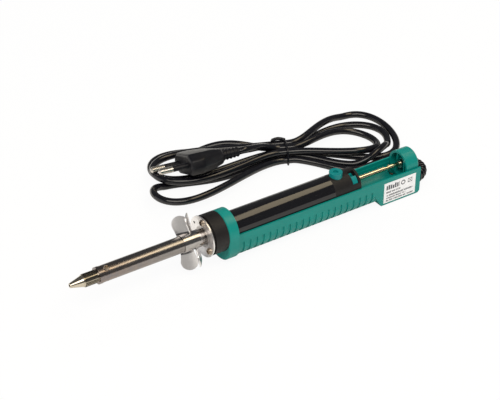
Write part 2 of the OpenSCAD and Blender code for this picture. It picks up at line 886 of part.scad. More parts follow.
module piston() {
    groove_mid = piston_x + piston_l / 2;
    color("Khaki")
        difference() {
            rod(piston_x, piston_l, piston_d);
            bored(groove_mid - oring_t / 2 - fit_gap, oring_t + 2 * fit_gap, piston_d + over,
                2 * oring_r - oring_t - 2 * fit_gap);
            rod(rod_x, piston_l + over, rod_d + 2 * fit_gap);
        }
}

module piston_ring() {
    color("#303030")
        lathe(piston_x + piston_l / 2)
            translate([oring_r, 0])
                circle(d = oring_t);
}

module main_spring() {
    color("LightSteelBlue")
        at_axis(seal_end_x)
            rotate([0, 90, 0])
                coil((spring_d - spring_wire_d) / 2, spring_wire_d / 2, piston_x - seal_end_x, spring_curls);
}

module plunger_rod() {
    notch_x = head_x - groove_x;
    color("Khaki")
        difference() {
            rod(rod_x, rod_end_x - rod_x, rod_d);
            bored(notch_x - groove_w / 2, groove_w, rod_d + over, groove_d);
        }
}

module push_head() {
    r = head_d / 2;
    inner_r = r - head_wall;
    cup = head_l - head_floor;
    color("#0a9382")
        difference() {
            union() {
                lathe(head_x)
                    polygon([[0, cup], [inner_r, cup], [inner_r, 0], [r, 0], [r, head_l - head_edge],
                        [r - head_edge, head_l], [0, head_l]]);
                rod(head_x + boss_back, cup - boss_back + fit_gap, boss_d);
                intersection() {
                    rod(head_x, head_l, head_d - head_wall);
                    for (s = [-1, 1])
                        at_axis(head_x + rib_back)
                            translate([0, s * rib_off - rib_t / 2, -r])
                                cube([head_l - rib_back - head_edge, rib_t, head_d]);
                }
            }
            rod(head_x - over, rod_end_x - head_x + over, rod_d + 2 * fit_gap);
        }
}

module rod_nut() {
    color("Goldenrod")
        difference() {
            at_axis(head_x + boss_back - nut_t)
                rotate([0, 90, 0])
                    cylinder(h = nut_t, r = nut_flats / sqrt(3), $fn = 6);
            rod(head_x, head_l, rod_d + 2 * fit_gap);
        }
}

module release_button() {
    color("#0c9aa0")
        difference() {
            union() {
                post(button_cx, 0, button_seat, button_h, button_d);
                brick(button_cx + button_d / 3, latch_x - button_cx, arm_w / 2, arm_z, arm_h);
                intersection() {
                    rod(latch_x, latch_t, 2 * latch_r);
                    union() {
                        brick(latch_x, latch_t, latch_half_w, latch_foot, latch_top - latch_foot);
                        at_axis(latch_x)
                            translate([0, -latch_half_w, 0])
                                cube([latch_t, tab_w, latch_r]);
                    }
                }
            }
            slice(latch_x - over, latch_t + 2 * over) {
                circle(d = rod_d + 2 * free_gap);
                translate([0, button_travel])
                    circle(d = rod_d + 2 * free_gap);
                translate([-rod_d / 2 - free_gap, 0])
                    square([rod_d + 2 * free_gap, button_travel]);
            }
            post(button_cx, 0, button_top - dimple_h, dimple_h + over, dimple_d);
        }
}

module button_spring() {
    color("Silver")
        at_axis(button_cx)
            translate([0, 0, pocket_z])
                coil((button_coil_d - button_wire_d) / 2, button_wire_d / 2, button_seat - pocket_z,
                    button_curls);
}

// Section of the trough: straight sides over a round, up to a given height
module trough_section(r, top) {
    translate([0, -trough_drop])
        circle(r = r);
    translate([-r, -trough_drop])
        square([2 * r, trough_drop + top]);
}

module ring_blank() {
    for (z = [0, -ring_drop])
        at_axis(ring_x)
            translate([0, 0, z])
                rotate([0, 90, 0])
                    rotate_extrude()
                        polygon([[0, 0], [ring_r - ring_bevel, 0], [ring_r, ring_bevel], [ring_r, ring_l],
                            [0, ring_l]]);
    at_axis(ring_x)
        translate([0, 0, -ring_drop])
            linear_extrude(height = ring_drop)
                polygon([[0, ring_bevel - ring_r], [ring_bevel, -ring_r], [ring_l, -ring_r], [ring_l, ring_r],
                    [ring_bevel, ring_r], [0, ring_r - ring_bevel]]);
}

module box_blank() {
    intersection() {
        at_axis(0)
            translate([0, trough_half_w, 0])
                rotate([90, 0, 0])
                    linear_extrude(height = 2 * trough_half_w)
                        polygon([[box_x - box_slope_l, -box_slope_z], [box_x, -axis_z],
                            [body_l - box_bevel, -axis_z], [body_l, box_bevel - axis_z], [body_l, -rim_z],
                            [box_x - box_slope_l, -rim_z]]);
        slice(box_x - box_slope_l, box_l + box_slope_l)
            polygon([[box_edge - trough_half_w, -axis_z], [trough_half_w - box_edge, -axis_z],
                [trough_half_w, box_edge - axis_z], [trough_half_w, 0], [-trough_half_w, 0],
                [-trough_half_w, box_edge - axis_z]]);
    }
}

module saddle_rib(x) {
    slice(x - saddle_t / 2, saddle_t)
        difference() {
            trough_section(trough_half_w - rim_wall, -upper_z);
            circle(d = saddle_d);
            translate([-notch_half_w, -axis_z])
                square([2 * notch_half_w, axis_z - notch_top]);
        }
}

module cover_posts(z, h, d) {
    post(wall_x - cover_screw_x, 0, z, h, d);
    post(wall_x - rear_screw_x, rear_screw_y, z, h, d);
}

module cord_bore(x, l) {
    at_axis(x)
        translate([0, 0, -cord_z])
            rotate([0, 90, 0])
                cylinder(h = l, d = cord_d + 2 * fit_gap);
}

module clamp_holes() {
    for (s = [-1, 1])
        post((strap_x + strap_end_x) / 2, s * clamp_screw_y, floor_z + over, axis_z,
            small_shank_d + 2 * fit_gap);
}

module handle() {
    color("#0a9382")
        difference() {
            union() {
                difference() {
                    union() {
                        ring_blank();
                        slice(ring_x + ring_l / 2, box_x - ring_x)
                            trough_section(trough_half_w, -rim_z);
                        box_blank();
                    }
                    slice(ring_end_x, box_inner_x - ring_end_x + over)
                        trough_section(lower_half_w, -upper_z);
                    brick(box_inner_x, wall_x - box_inner_x, lower_half_w, floor_z, axis_z);
                    brick(ring_end_x, wall_x - ring_end_x, upper_half_w, -upper_z, axis_z);
                }
                for (i = [1:saddles])
                    saddle_rib(ring_end_x + barrel_show_l * i / (saddles + 1));
                intersection() {
                    cover_posts(-axis_z + over, axis_z - over - cover_bottom, post_d);
                    slice(ring_end_x, body_l - ring_end_x)
                        trough_section(trough_half_w, -rim_z);
                }
                brick(strap_x, clamp_l, clamp_w / 2, floor_z - over, -floor_z + over - cord_z);
            }
            rod(ring_x - over, ring_l + 2 * over, spigot_d + 2 * fit_gap);
            rod(wall_x - over, rear_wall + 2 * over, 2 * channel_r);
            cord_bore(strap_x - over, clamp_l + 2 * over);
            at_axis(wall_x - over)
                translate([0, 0, -cord_z])
                    rotate([0, 90, 0])
                        cylinder(h = rear_wall + 2 * over, d = relief_neck_d + 2 * fit_gap);
            cover_posts(floor_z + over, axis_z, small_shank_d + 2 * fit_gap);
            clamp_holes();
            at_axis(label_cx)
                translate([-fit_gap, -trough_half_w - over, -label_z - label_h - fit_gap])
                    cube([label_l + 2 * fit_gap, over + label_recess, label_h + 2 * fit_gap]);
            for (i = [0:grooves - 1])
                slice(ring_end_x + grip_start + groove_pitch * i, grip_w)
                    difference() {
                        translate([-axis_z, -2 * axis_z])
                            square([2 * axis_z, 2 * axis_z - grip_top]);
                        trough_section(trough_half_w - grip_h, 0);
                    }
        }
}

module wire_cover() {
    color("#0b7d70")
        difference() {
            intersection() {
                slice(cover_x, cover_l - fit_gap)
                    trough_section(lower_half_w - fit_gap, 0);
                brick(cover_x, cover_l, trough_half_w, -cover_bottom, cover_bottom - cover_top);
            }
            rod(cover_x - over, cover_l + 2 * over, 2 * channel_r);
            cover_posts(-axis_z, axis_z, small_shank_d + 2 * fit_gap);
            cover_posts(-cover_seat, axis_z, small_head_d + 2 * free_gap);
        }
}

module cover_screws() {
    color("Silver")
        for (p = [[wall_x - cover_screw_x, 0], [wall_x - rear_screw_x, rear_screw_y]])
            at_axis(p[0])
                translate([0, p[1], -cover_seat])
                    screw(small_head_d, small_head_h, small_shank_d, cover_shank_l);
}

module at_ways() {
    for (s = [-1, 1])
        for (k = [-1, 1])
            at_axis(terminal_x + block_l / 2 + k * way_pitch / 2)
                translate([0, s * way_off, floor_z + block_h])
                    children();
}

module terminal_block() {
    way_d = core_wire_d + 2 * fit_gap;
    color("AntiqueWhite")
        difference() {
            brick(terminal_x, block_l, block_w / 2, floor_z, block_h);
            for (s = [-1, 1])
                at_axis(terminal_x - over)
                    translate([0, s * way_off, -way_z])
                        rotate([0, 90, 0])
                            cylinder(h = block_l + 2 * over, d = way_d);
            at_ways()
                translate([0, 0, -(floor_z + block_h + way_z)])
                    cylinder(h = axis_z, d = small_shank_d + 2 * fit_gap);
        }
}

module terminal_screws() {
    drop = floor_z + block_h + way_z - core_wire_d / 2 - fit_gap;
    color("Silver")
        at_ways()
            screw(way_head_d, way_head_h, small_shank_d, drop);
}

module cord_clamp() {
    color("#0b7d70")
        difference() {
            union() {
                brick(strap_x, clamp_l, clamp_w / 2, -cord_z, ear_h);
                brick(strap_x, clamp_l, (clamp_w - 2 * small_head_d) / 2, -cord_z, arch_h);
            }
            cord_bore(strap_x - over, clamp_l + 2 * over);
            clamp_holes();
        }
}

module clamp_screws() {
    color("Silver")
        for (s = [-1, 1])
            at_axis((strap_x + strap_end_x) / 2)
                translate([0, s * clamp_screw_y, ear_h - cord_z])
                    screw(small_head_d * crown_d_share, small_head_h, small_shank_d, ear_h + arm_h / 2);
}

// Heater leads: out of the insulator, down through the cap's slot, along the trough to the terminal block
module heater_leads() {
    low = lead_d - axis_z + trough_wall + fit_gap;
    post_x = wall_x - cover_screw_x;
    color("Linen")
        for (s = [-1, 1]) {
            route = [
                [insulator_x + 1, s * lead_off, 0], [tube_end_x + 0.6, s * lead_off, 0],
                [tube_end_x + 1.4, s * lead_off, -0.8], [tube_end_x + 1.7, s * 3, -3],
                [tube_end_x + 1.9, s * 2.4, -6], [tube_end_x + 2.2, s * 1.5, -9],
                [seal_x - 0.6, s, -9.96], [ring_x + 2, s, -9.98], [ring_end_x + 0.4, s, -9.98],
                [ring_end_x + 2.5, s * 1.5, -11.5], [ring_end_x + 5.5, s * 1.5, -15],
                [ring_end_x + 10, s * 1.5, low], [post_x - 12, s * 1.5, low], [post_x - 4, s * 3.6, low + 0.8],
                [post_x, s * 3.9, low + 1], [post_x + 4, s * 3.6, low + 1.1],
                [terminal_x - 1, s * way_off, -way_z], [terminal_x + 4, s * way_off, -way_z]];
            at_axis(0)
                swept(route, [for (p = route) lead_d / 2], 8, [0, 1, 0]);
        }
}

module cord_cores() {
    color("Sienna")
        for (s = [-1, 1]) {
            start = inner_cord_x;
            block_end = terminal_x + block_l;
            gap = start - block_end;
            route = [
                [start, s * 1.1, -cord_z], [start - 0.6, s * 1.1, -cord_z],
                [start - gap / 2, s * (1.1 + way_off) / 2, -(cord_z + way_z) / 2],
                [block_end + 0.4, s * way_off, -way_z], [block_end - 4, s * way_off, -way_z]];
            at_axis(0)
                swept(route, [for (p = route) core_wire_d / 2], 8, [0, 1, 0]);
        }
}

module inner_cord() {
    color("#161616")
        at_axis(inner_cord_x)
            translate([0, 0, -cord_z])
                rotate([0, 90, 0])
                    cylinder(h = inner_cord_l, d = cord_d);
}

module label_plate() {
    color("White")
        at_axis(label_cx)
            translate([0, label_recess - trough_half_w - label_t, -label_z - label_h])
                cube([label_l, label_t, label_h]);
}

// Strain relief: a neck in the wall, then a ribbed boot that bends towards +Y
function relief_point(s) = s < relief_straight
    ? [body_l + s, 0, -cord_z]
    : let (a = (s - relief_straight) / relief_bend * 180 / PI)
        [body_l + relief_straight + relief_bend * sin(a), relief_bend * (1 - cos(a)), -cord_z];
relief_l = relief_straight + relief_bend * relief_turn * PI / 180;
relief_way = [cos(relief_turn), sin(relief_turn), 0];
relief_end = relief_point(relief_l) + relief_tip * relief_way;

module strain_relief() {
    steps = relief_ribs * 4;
    radii = [for (i = [0:steps])
        relief_d / 2 + (relief_end_d - relief_d) / 2 * i / steps - (i % 4 > 1 ? relief_rib_h : 0)];
    color("#141414")
        union() {
            at_axis(wall_x)
                translate([0, 0, -cord_z])
                    rotate([0, 90, 0])
                        cylinder(h = rear_wall + relief_straight / 2, d = relief_neck_d, $fn = 24);
            at_axis(0)
                swept(concat([for (i = [0:steps]) relief_point(relief_l * i / steps)], [relief_end]),
                    concat(radii, [relief_end_d / 2]), 12, [0, 0, 1]);
        }
}

// The bundle: each lobe is a sum of sines from one waist slot to the next
function lerp(a, b, t) = a + (b - a) * t;
function sines(c, u) = c * [for (k = [1:len(c)]) sin(180 * k * u)];
function closed(c) = concat(c, [-(c[0] + 3 * c[2]) / 5, -(2 * c[1] + 4 * c[3]) / 6]);
function lobe_point(j, u) =
    let (a = waist_slots[j], b = waist_slots[j + 1], e = u - sin(360 * u) / (2 * PI),
        along = sines(lobe_reach[j], u),
        across = lerp(a[0], b[0], e) + sines(closed(lobe_side[j]), u),
        lift = eased(lerp(a[1], b[1], e) + sines(closed(lobe_lift[j]), u)))
    [waist[0] + along * cos(waist_turn) - across * sin(waist_turn),
        waist[1] + along * sin(waist_turn) + across * cos(waist_turn), ground_z + layer_h * lift];
function eased(v) = (v + sqrt(v * v + lift_round)) / 2;
lobes = len(waist_slots) - 1;
hank_start = lobe_point(0, 0);
hank_end = lobe_point(lobes - 1, 1);
hank_points = concat([hank_start, hank_start - cord_d * waist_way],
    [for (i = [1:lobes * lobe_rings - 1]) lobe_point(floor(i / lobe_rings), (i % lobe_rings) / lobe_rings)],
    [hank_end + cord_d * waist_way, hank_end]);
hank_gaps = [for (i = [0:len(hank_points) - 1]) for (k = [i + 7:1:len(hank_points) - 1])
    norm(hank_points[i] - hank_points[k]) - cord_d];
echo(least_gap = min(hank_gaps), hank_l = hank_run(len(hank_points) - 1));
function hank_run(i) = i < 1 ? 0 : hank_run(i - 1) + norm(hank_points[i] - hank_points[i - 1]);

module cord_hank() {
    color("#141418")
        at_axis(0)
            swept(hank_points, [for (p = hank_points) cord_r], 6, [0, 0, 1]);
}

module cord_lead() {
    route = concat([relief_end, relief_end + cord_d * relief_way], lead_route,
        [hank_start + cord_d * waist_way, hank_start]);
    color("#141418")
        at_axis(0)
            swept(route, [for (p = route) cord_r], 10, [0, 0, 1]);
}

module cord_tail() {
    route = concat([hank_end, hank_end - cord_d * waist_way], tail_route,
        [plug_exit - cord_d * plug_way, plug_exit]);
    color("#141418")
        at_axis(0)
            swept(route, [for (p = route) cord_r], 10, [0, 0, 1]);
}

// The tie runs round the waist and is flat where it lies on the ground
module cord_tie() {
    half = waist_slots[2][0];
    rise = layer_h * eased(0);
    color("#101010")
        at_axis(waist[0])
            translate([0, waist[1], ground_z + rise])
                rotate([90, 0, waist_turn + 90])
                    linear_extrude(height = tie_d, center = true)
                        difference() {
                            tie_outline(cord_r + fit_gap + tie_d, half);
                            tie_outline(cord_r + fit_gap, half);
                            translate([-2 * half, -cord_r - rise - 2 * tie_d])
                                square([4 * half, 2 * tie_d]);
                        }
}

module tie_outline(r, half) {
    hull() {
        for (s = [-1, 1]) {
            translate([s * half, 0])
                circle(r = r, $fn = 32);
            translate([s * waist_slots[4][0], layer_h])
                circle(r = r, $fn = 32);
        }
    }
}

// Where the cord goes into the plug's strain relief, and the way the plug points
plug_way = [cos(plug_turn[1]) * cos(plug_turn[2]), cos(plug_turn[1]) * sin(plug_turn[2]), -sin(plug_turn[1])];
plug_exit = plug_at - (plug_l + plug_relief_l) * plug_way;

// Plug, in its own place: pins along +X from the origin, width along Y
module at_plug() {
    at_axis(plug_at[0])
        translate([0, plug_at[1], plug_at[2]])
            rotate(plug_turn)
                children();
}

function plug_slice(x, w, t, e) =
    [for (p = [[w / 2, e / 2], [w / 2 * crown_d_share, t / 2], [-w / 2 * crown_d_share, t / 2], [-w / 2, e / 2],
        [-w / 2, -e / 2], [-w / 2 * crown_d_share, -t / 2], [w / 2 * crown_d_share, -t / 2],
        [w / 2, -e / 2]]) [-x, p[0], p[1]]];

module plug_body() {
    rings = [plug_slice(0, plug_w - 2 * plug_bevel, plug_t - 2 * plug_bevel, plug_edge_t - plug_bevel),
        plug_slice(plug_bevel, plug_w, plug_t, plug_edge_t),
        plug_slice(plug_wide_x, plug_w, plug_t, plug_edge_t),
        plug_slice(plug_l * plug_mid_share, (plug_w + plug_end_w) / 2, plug_t - 1, plug_edge_t),
        plug_slice(plug_l - plug_bevel, plug_end_w, plug_end_t, plug_edge_t - plug_bevel),
        plug_slice(plug_l, plug_end_w - 2 * plug_bevel, plug_end_t - plug_bevel, plug_edge_t - 2 * plug_bevel)];
    n = 8;
    m = len(rings);
    steps = plug_ribs * 4;
    color("#131315")
        difference() {
            at_plug() {
                polyhedron(points = [for (r = rings) each r], faces = concat(
                    [[for (k = [n - 1:-1:0]) k]],
                    [for (i = [0:m - 2]) for (k = [0:n - 1])
                        each [[i * n + k, i * n + (k + 1) % n, (i + 1) * n + (k + 1) % n],
                            [i * n + k, (i + 1) * n + (k + 1) % n, (i + 1) * n + k]]],
                    [[for (k = [0:n - 1]) (m - 1) * n + k]]), convexity = 4);
                swept([for (i = [0:steps]) [over - plug_l - (plug_relief_l + over) * i / steps, 0, 0]],
                    [for (i = [0:steps]) lerp(plug_relief_d, relief_end_d, i / steps) / 2
                        - (i % 4 > 1 ? relief_rib_h / 2 : 0)], 12, [0, 0, 1]);
            }
            at_pins()
                translate([0, 0, -pin_l / 2])
                    cylinder(h = pin_l, d = pin_d);
        }
}

module at_pins() {
    for (s = [-1, 1])
        at_plug()
            translate([0, s * pin_pitch / 2, 0])
                rotate([s * pin_lean, 90, 0])
                    children();
}

module pin_sleeves() {
    color("#1a1a1a")
        at_pins()
            difference() {
                translate([0, 0, -pin_l / 2])
                    cylinder(h = pin_l / 2 + pin_l - pin_bare_l, d = pin_d - 2 * fit_gap);
                translate([0, 0, -pin_l])
                    cylinder(h = 3 * pin_l, d = pin_d / 2 + 2 * fit_gap);
            }
}

module plug_pins() {
    tip = pin_d / 5;
    color("Silver")
        at_pins()
            rotate_extrude()
                polygon([[0, -pin_l / 2], [pin_d / 4, -pin_l / 2], [pin_d / 4, pin_l - pin_bare_l],
                    [pin_d / 2, pin_l - pin_bare_l], [pin_d / 2, pin_l - tip], [pin_d / 2 - tip, pin_l],
                    [0, pin_l]]);
}

nozzle();
knurled_sleeve();
tube_end_ring();
heater_tube();
set_screw();
suction_tube();
heater_core();
heater_winding();
heat_guard();
flange_plate();
flange_screws();
insulator();
front_cap();
front_seal();
barrel();
barrel_end_cap();
piston();
piston_ring();
main_spring();
plunger_rod();
push_head();
rod_nut();
release_button();
button_spring();
handle();
wire_cover();
cover_screws();
terminal_block();
terminal_screws();
cord_clamp();
clamp_screws();
heater_leads();
cord_cores();
inner_cord();
label_plate();
strain_relief();
cord_lead();
cord_hank();
cord_tail();
cord_tie();
plug_body();
pin_sleeves();
plug_pins();
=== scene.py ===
"""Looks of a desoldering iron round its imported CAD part: cord, tie, boot, plug, finishes, light and camera."""
import json
import math

import bpy
import numpy as np
from mathutils import Matrix, Vector


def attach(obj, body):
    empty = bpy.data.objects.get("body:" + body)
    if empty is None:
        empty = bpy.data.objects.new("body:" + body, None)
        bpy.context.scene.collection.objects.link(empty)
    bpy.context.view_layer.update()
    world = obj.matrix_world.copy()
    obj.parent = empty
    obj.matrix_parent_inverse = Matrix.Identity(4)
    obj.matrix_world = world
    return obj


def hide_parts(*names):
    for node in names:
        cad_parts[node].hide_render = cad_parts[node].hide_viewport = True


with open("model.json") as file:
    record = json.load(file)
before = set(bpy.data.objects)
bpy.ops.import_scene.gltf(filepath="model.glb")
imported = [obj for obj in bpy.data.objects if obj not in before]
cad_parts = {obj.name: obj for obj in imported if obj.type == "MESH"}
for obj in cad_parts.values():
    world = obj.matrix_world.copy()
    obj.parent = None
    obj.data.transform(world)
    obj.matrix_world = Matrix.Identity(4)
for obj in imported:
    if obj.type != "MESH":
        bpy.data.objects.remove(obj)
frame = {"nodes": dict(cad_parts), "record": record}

bl_info = {
    "name": "Desoldering Iron Looks",
    "version": (1, 0, 0),
    "blender": (4, 5, 0),
    "location": "View3D > Sidebar > Iron",
    "description": "Cord, tie, boot, plug, finishes, light and camera of a desoldering iron",
    "category": "Object",
}

MM = 0.001
# The part's frame: millimetres from the nozzle's mouth and from the axis, to metres from the base's middle
SHIFT = np.array([-122.75, 0.0, 19.5])

# The cord, as in the part's source
CORD_D = 4.6
WAIST = np.array([198.0, 70.0])
WAIST_TURN = math.radians(-25)
LAYER_H = 5.0
LIFT_ROUND = 0.02
GROUND_Z = CORD_D / 2 - 19.5
SLOTS = [(-7.9, 0), (-2.65, 0), (7.9, 0), (2.65, 0), (5.25, 1), (-5.25, 1), (0, 1)]
REACH = [(-75.49, 4.46, 15.5), (61.07, 3.46, -9.03), (-75.88, -8.34, 12.77), (64.36, -2.34, -11.26),
         (-73.06, 3.87, 15.89), (54.78, 1.87, -6.84)]
SIDE = [(-34.27, -5.55, 6.07, 6.79), (7, -16.28, -4, 5.92), (-10.94, 8.61, 4.21, -5.94),
        (10.02, -20.43, 2.85, 9.87), (-14.77, 10.32, 1.56, -6.13), (7.13, -10.45, -1.28, 4.77)]
LIFT = [(0.38, 0.86, -0.45, -0.21), (-1.6, 1.18, 0.54, -1.47), (-3.04, 2.33, -0.58, 0.77),
        (-3.06, -2.5, -1.1, 0.01), (0.1, 0.01, 0.01, 0.04), (-0.39, 0.19, 0.33, -0.18)]
LEAD = [(258, 21.7, -14.7), (255.3, 25.2, -15.5), (251.5, 27.7, -16.3), (247.2, 28.9, -16.9),
        (242.7, 29, -17.2), (238, 29, -17.2), (233.2, 29, -17.2), (228.4, 29.4, -17.2), (224, 31, -17.2),
        (220, 33.6, -17.2), (216.9, 37.2, -17.2), (214.2, 41.2, -17.2), (211.6, 45.4, -17.2),
        (208.8, 49.8, -17.2), (205.8, 54, -17.2), (202.6, 58, -17.2)]
TAIL = [(189.4, 73.3, -11.1), (184.8, 73.6, -9.1), (180, 72.7, -6.9), (175, 71, -4.8), (170, 69.7, -3.3)]
BODY_L = 245.5
CORD_Z = 14.2
RELIEF_STRAIGHT = 4.0
RELIEF_BEND = 11.0
RELIEF_TURN = math.radians(100)
RELIEF_TIP = 0.6
RELIEF_D = (10.2, 6.2)
PLUG_AT = np.array([123.3, 76.8, -3.0])
PLUG_TURN = [math.radians(v) for v in (27.4, 1.2, 169.6)]
PLUG_L = 26.0
PLUG_RELIEF_L = 12.0
# In metres in the part's frame: the axis, the knurl's ends, which bound its painted shade, the guard's collar, where
# the painted reflection turns from dark to bright, and the label's corner and size
AXIS_Z = 0.0195
KNURL = (-0.1143, -0.1058)
COLLAR_R = (0.0063, 0.0068)
LABEL_AT = (0.09395, 0.0018)
LABEL_SIZE = (0.0249, 0.0146)
# The ribs of the boots: how deep the grooves are and how thick a rib is
RIB_DEPTH = 0.85
RIB_SINK = 0.75
RIB_R = 0.00074
# The photo's camera: its turn, height and roll in degrees, what it looks at and how far off it is
VIEW_TURN = (-34.25, 33.94, 0.76)
VIEW_AT = (0.01549, 0.02303, 0.01445)
VIEW_FAR = 1.0253
FLOOR_DROP = 0.0002
FLOOR_WHITE = 0.9
FLOOR_GLOW = 0.93
# Name, place, size, power, colour and whether mirrors show it
LAMPS = (
    ("key", (-0.55, -0.75, 1.3), (1.9, 0.8), 19, (1.0, 0.94, 0.84), True),
    ("rim", (0.9, 1.1, 0.9), (1.2, 0.6), 5, (0.97, 0.98, 1.0), False),
    ("streak", (0.66, -0.24, 1.2), (1.1, 0.34), 4.4, (1.0, 0.84, 0.58), True),
    ("card", (-1.5, 0.65, 0.32), (1.4, 0.7), 2.4, (1.0, 0.98, 1.0), True),
)
WAIST_WAY = np.array([math.cos(WAIST_TURN), math.sin(WAIST_TURN), 0.0])
WAIST_ACROSS = np.array([-math.sin(WAIST_TURN), math.cos(WAIST_TURN), 0.0])


def metres(points):
    """Points in millimetres from the nozzle's mouth, as metres in the part's frame."""
    return (np.atleast_2d(np.asarray(points, float)) + SHIFT) * MM


def closed(c):
    """Two more sines, so that the strand meets its neighbours straight."""
    return list(c) + [-(c[0] + 3 * c[2]) / 5, -(2 * c[1] + 4 * c[3]) / 6]


def sines(c, u):
    return sum(v * np.sin((k + 1) * math.pi * u) for k, v in enumerate(c))


def lobe(j, u):
    """Points of one lobe of the bundle at the shares u of its run."""
    a, b = SLOTS[j], SLOTS[j + 1]
    e = u - np.sin(2 * math.pi * u) / (2 * math.pi)
    along = sines(REACH[j], u)
    across = a[0] + (b[0] - a[0]) * e + sines(closed(SIDE[j]), u)
    rise = a[1] + (b[1] - a[1]) * e + sines(closed(LIFT[j]), u)
    lift = (rise + np.sqrt(rise * rise + LIFT_ROUND)) / 2
    return np.stack([WAIST[0] + along * WAIST_WAY[0] + across * WAIST_ACROSS[0],
                     WAIST[1] + along * WAIST_WAY[1] + across * WAIST_ACROSS[1],
                     GROUND_Z + LAYER_H * lift], 1)


def rounded(points, step=1.0):
    """A smooth line through the points, as a centripetal Catmull-Rom curve."""
    p = np.asarray(points, float)
    p = np.vstack([2 * p[0] - p[1], p, 2 * p[-1] - p[-2]])
    t = np.concatenate([[0], np.cumsum(np.linalg.norm(np.diff(p, axis=0), axis=1) ** 0.5)])
    out = []
    for i in range(1, len(p) - 2):
        n = max(2, int(round(np.linalg.norm(p[i + 1] - p[i]) / step)))
        s = np.linspace(t[i], t[i + 1], n, endpoint=False)[:, None]
        a = [((t[k + 1] - s) * p[k] + (s - t[k]) * p[k + 1]) / (t[k + 1] - t[k]) for k in (i - 1, i, i + 1)]
        b = [((t[i + 1 + k] - s) * a[k] + (s - t[i - 1 + k]) * a[k + 1]) / (t[i + 1 + k] - t[i - 1 + k])
             for k in (0, 1)]
        out.append(((t[i + 1] - s) * b[0] + (s - t[i]) * b[1]) / (t[i + 1] - t[i]))
    return np.vstack(out + [p[-2:-1]])


def relief_line(steps):
    """The boot's centreline: straight out of the wall, then round towards +Y."""
    arc = RELIEF_BEND * RELIEF_TURN
    out = []
    for s in np.linspace(0, RELIEF_STRAIGHT + arc, steps):
        a = max(0.0, s - RELIEF_STRAIGHT) / RELIEF_BEND
        out.append([BODY_L + min(s, RELIEF_STRAIGHT) + RELIEF_BEND * math.sin(a),
                    RELIEF_BEND * (1 - math.cos(a)), -CORD_Z])
    end = np.array(out[-1]) + RELIEF_TIP * relief_way()
    return np.vstack([out, end])


def relief_way():
    return np.array([math.cos(RELIEF_TURN), math.sin(RELIEF_TURN), 0.0])


def plug_frame():
    """The plug's turn and place: pins along its own +X."""
    x, y, z = PLUG_TURN
    turn = Matrix.Rotation(z, 4, "Z") @ Matrix.Rotation(y, 4, "Y") @ Matrix.Rotation(x, 4, "X")
    return Matrix.Translation(Vector(metres(PLUG_AT)[0])) @ turn


def plug_way():
    return np.array(plug_frame().to_3x3() @ Vector((1, 0, 0)))


def cord_line():
    """The whole cord's centreline in millimetres, from the boot to the plug."""
    start = lobe(0, np.array([0.0]))[0]
    end = lobe(5, np.array([1.0]))[0]
    plug_exit = PLUG_AT - (PLUG_L + PLUG_RELIEF_L) * plug_way()
    first = relief_line(40)[-1]
    lead = rounded([first, first + CORD_D * relief_way(), *LEAD, start + CORD_D * WAIST_WAY, start])
    u = np.linspace(0, 1, 110, endpoint=False)
    hank = np.vstack([lobe(j, u) for j in range(6)])
    tail = rounded([end, end - CORD_D * WAIST_WAY, *TAIL, plug_exit - CORD_D * plug_way(), plug_exit])
    return np.vstack([lead[:-1], hank, tail])


def frames(p):
    """A tangent and two carried-along sides at each point of a line."""
    t = np.gradient(p, axis=0)
    t /= np.linalg.norm(t, axis=1)[:, None]
    side = np.cross(t[0], [0, 0, 1.0] if abs(t[0][2]) < 0.9 else [1.0, 0, 0])
    sides = []
    for v in t:
        side = side - v * (side @ v)
        side /= np.linalg.norm(side)
        sides.append(side)
    sides = np.array(sides)
    return t, sides, np.cross(t, sides)


def new_mesh(name, verts, faces, smooth=True):
    mesh = bpy.data.meshes.new(name)
    mesh.from_pydata([tuple(v) for v in verts], [], faces)
    mesh.validate()
    if smooth:
        mesh.shade_smooth()
    made = bpy.data.objects.new(name, mesh)
    bpy.context.scene.collection.objects.link(made)
    return made


def tube(name, points, radii, sides=18, ring=False):
    """A tube along the points (metres), its ends closed, or joined up as a ring."""
    p = np.asarray(points, float)
    r = np.broadcast_to(np.asarray(radii, float), (len(p),))
    t, a, b = frames(p)
    w = np.linspace(0, 2 * math.pi, sides, endpoint=False)
    verts = (p[:, None] + r[:, None, None] * (np.cos(w)[None, :, None] * a[:, None]
                                              + np.sin(w)[None, :, None] * b[:, None])).reshape(-1, 3)
    n = len(p)
    faces = [(i * sides + k, i * sides + (k + 1) % sides, (i + 1) % n * sides + (k + 1) % sides,
              (i + 1) % n * sides + k) for i in range(n if ring else n - 1) for k in range(sides)]
    if not ring:
        faces += [tuple(range(sides))[::-1], tuple(range((n - 1) * sides, n * sides))]
    return new_mesh(name, verts, [f[::-1] for f in faces])


def baked(made, name):
    """The object's evaluated mesh as a plain one, with no modifier left."""
    graph = bpy.context.evaluated_depsgraph_get()
    mesh = bpy.data.meshes.new_from_object(made.evaluated_get(graph))
    mesh.name = name
    made.modifiers.clear()
    old = made.data
    made.data = mesh
    bpy.data.meshes.remove(old)
    return made


def joined(name, pieces):
    """Several objects as one."""
    verts, faces, base = [], [], 0
    for o in pieces:
        verts += [tuple(v.co) for v in o.data.vertices]
        faces += [tuple(base + i for i in f.vertices) for f in o.data.polygons]
        base += len(o.data.vertices)
        bpy.data.objects.remove(o)
    return new_mesh(name, verts, faces)


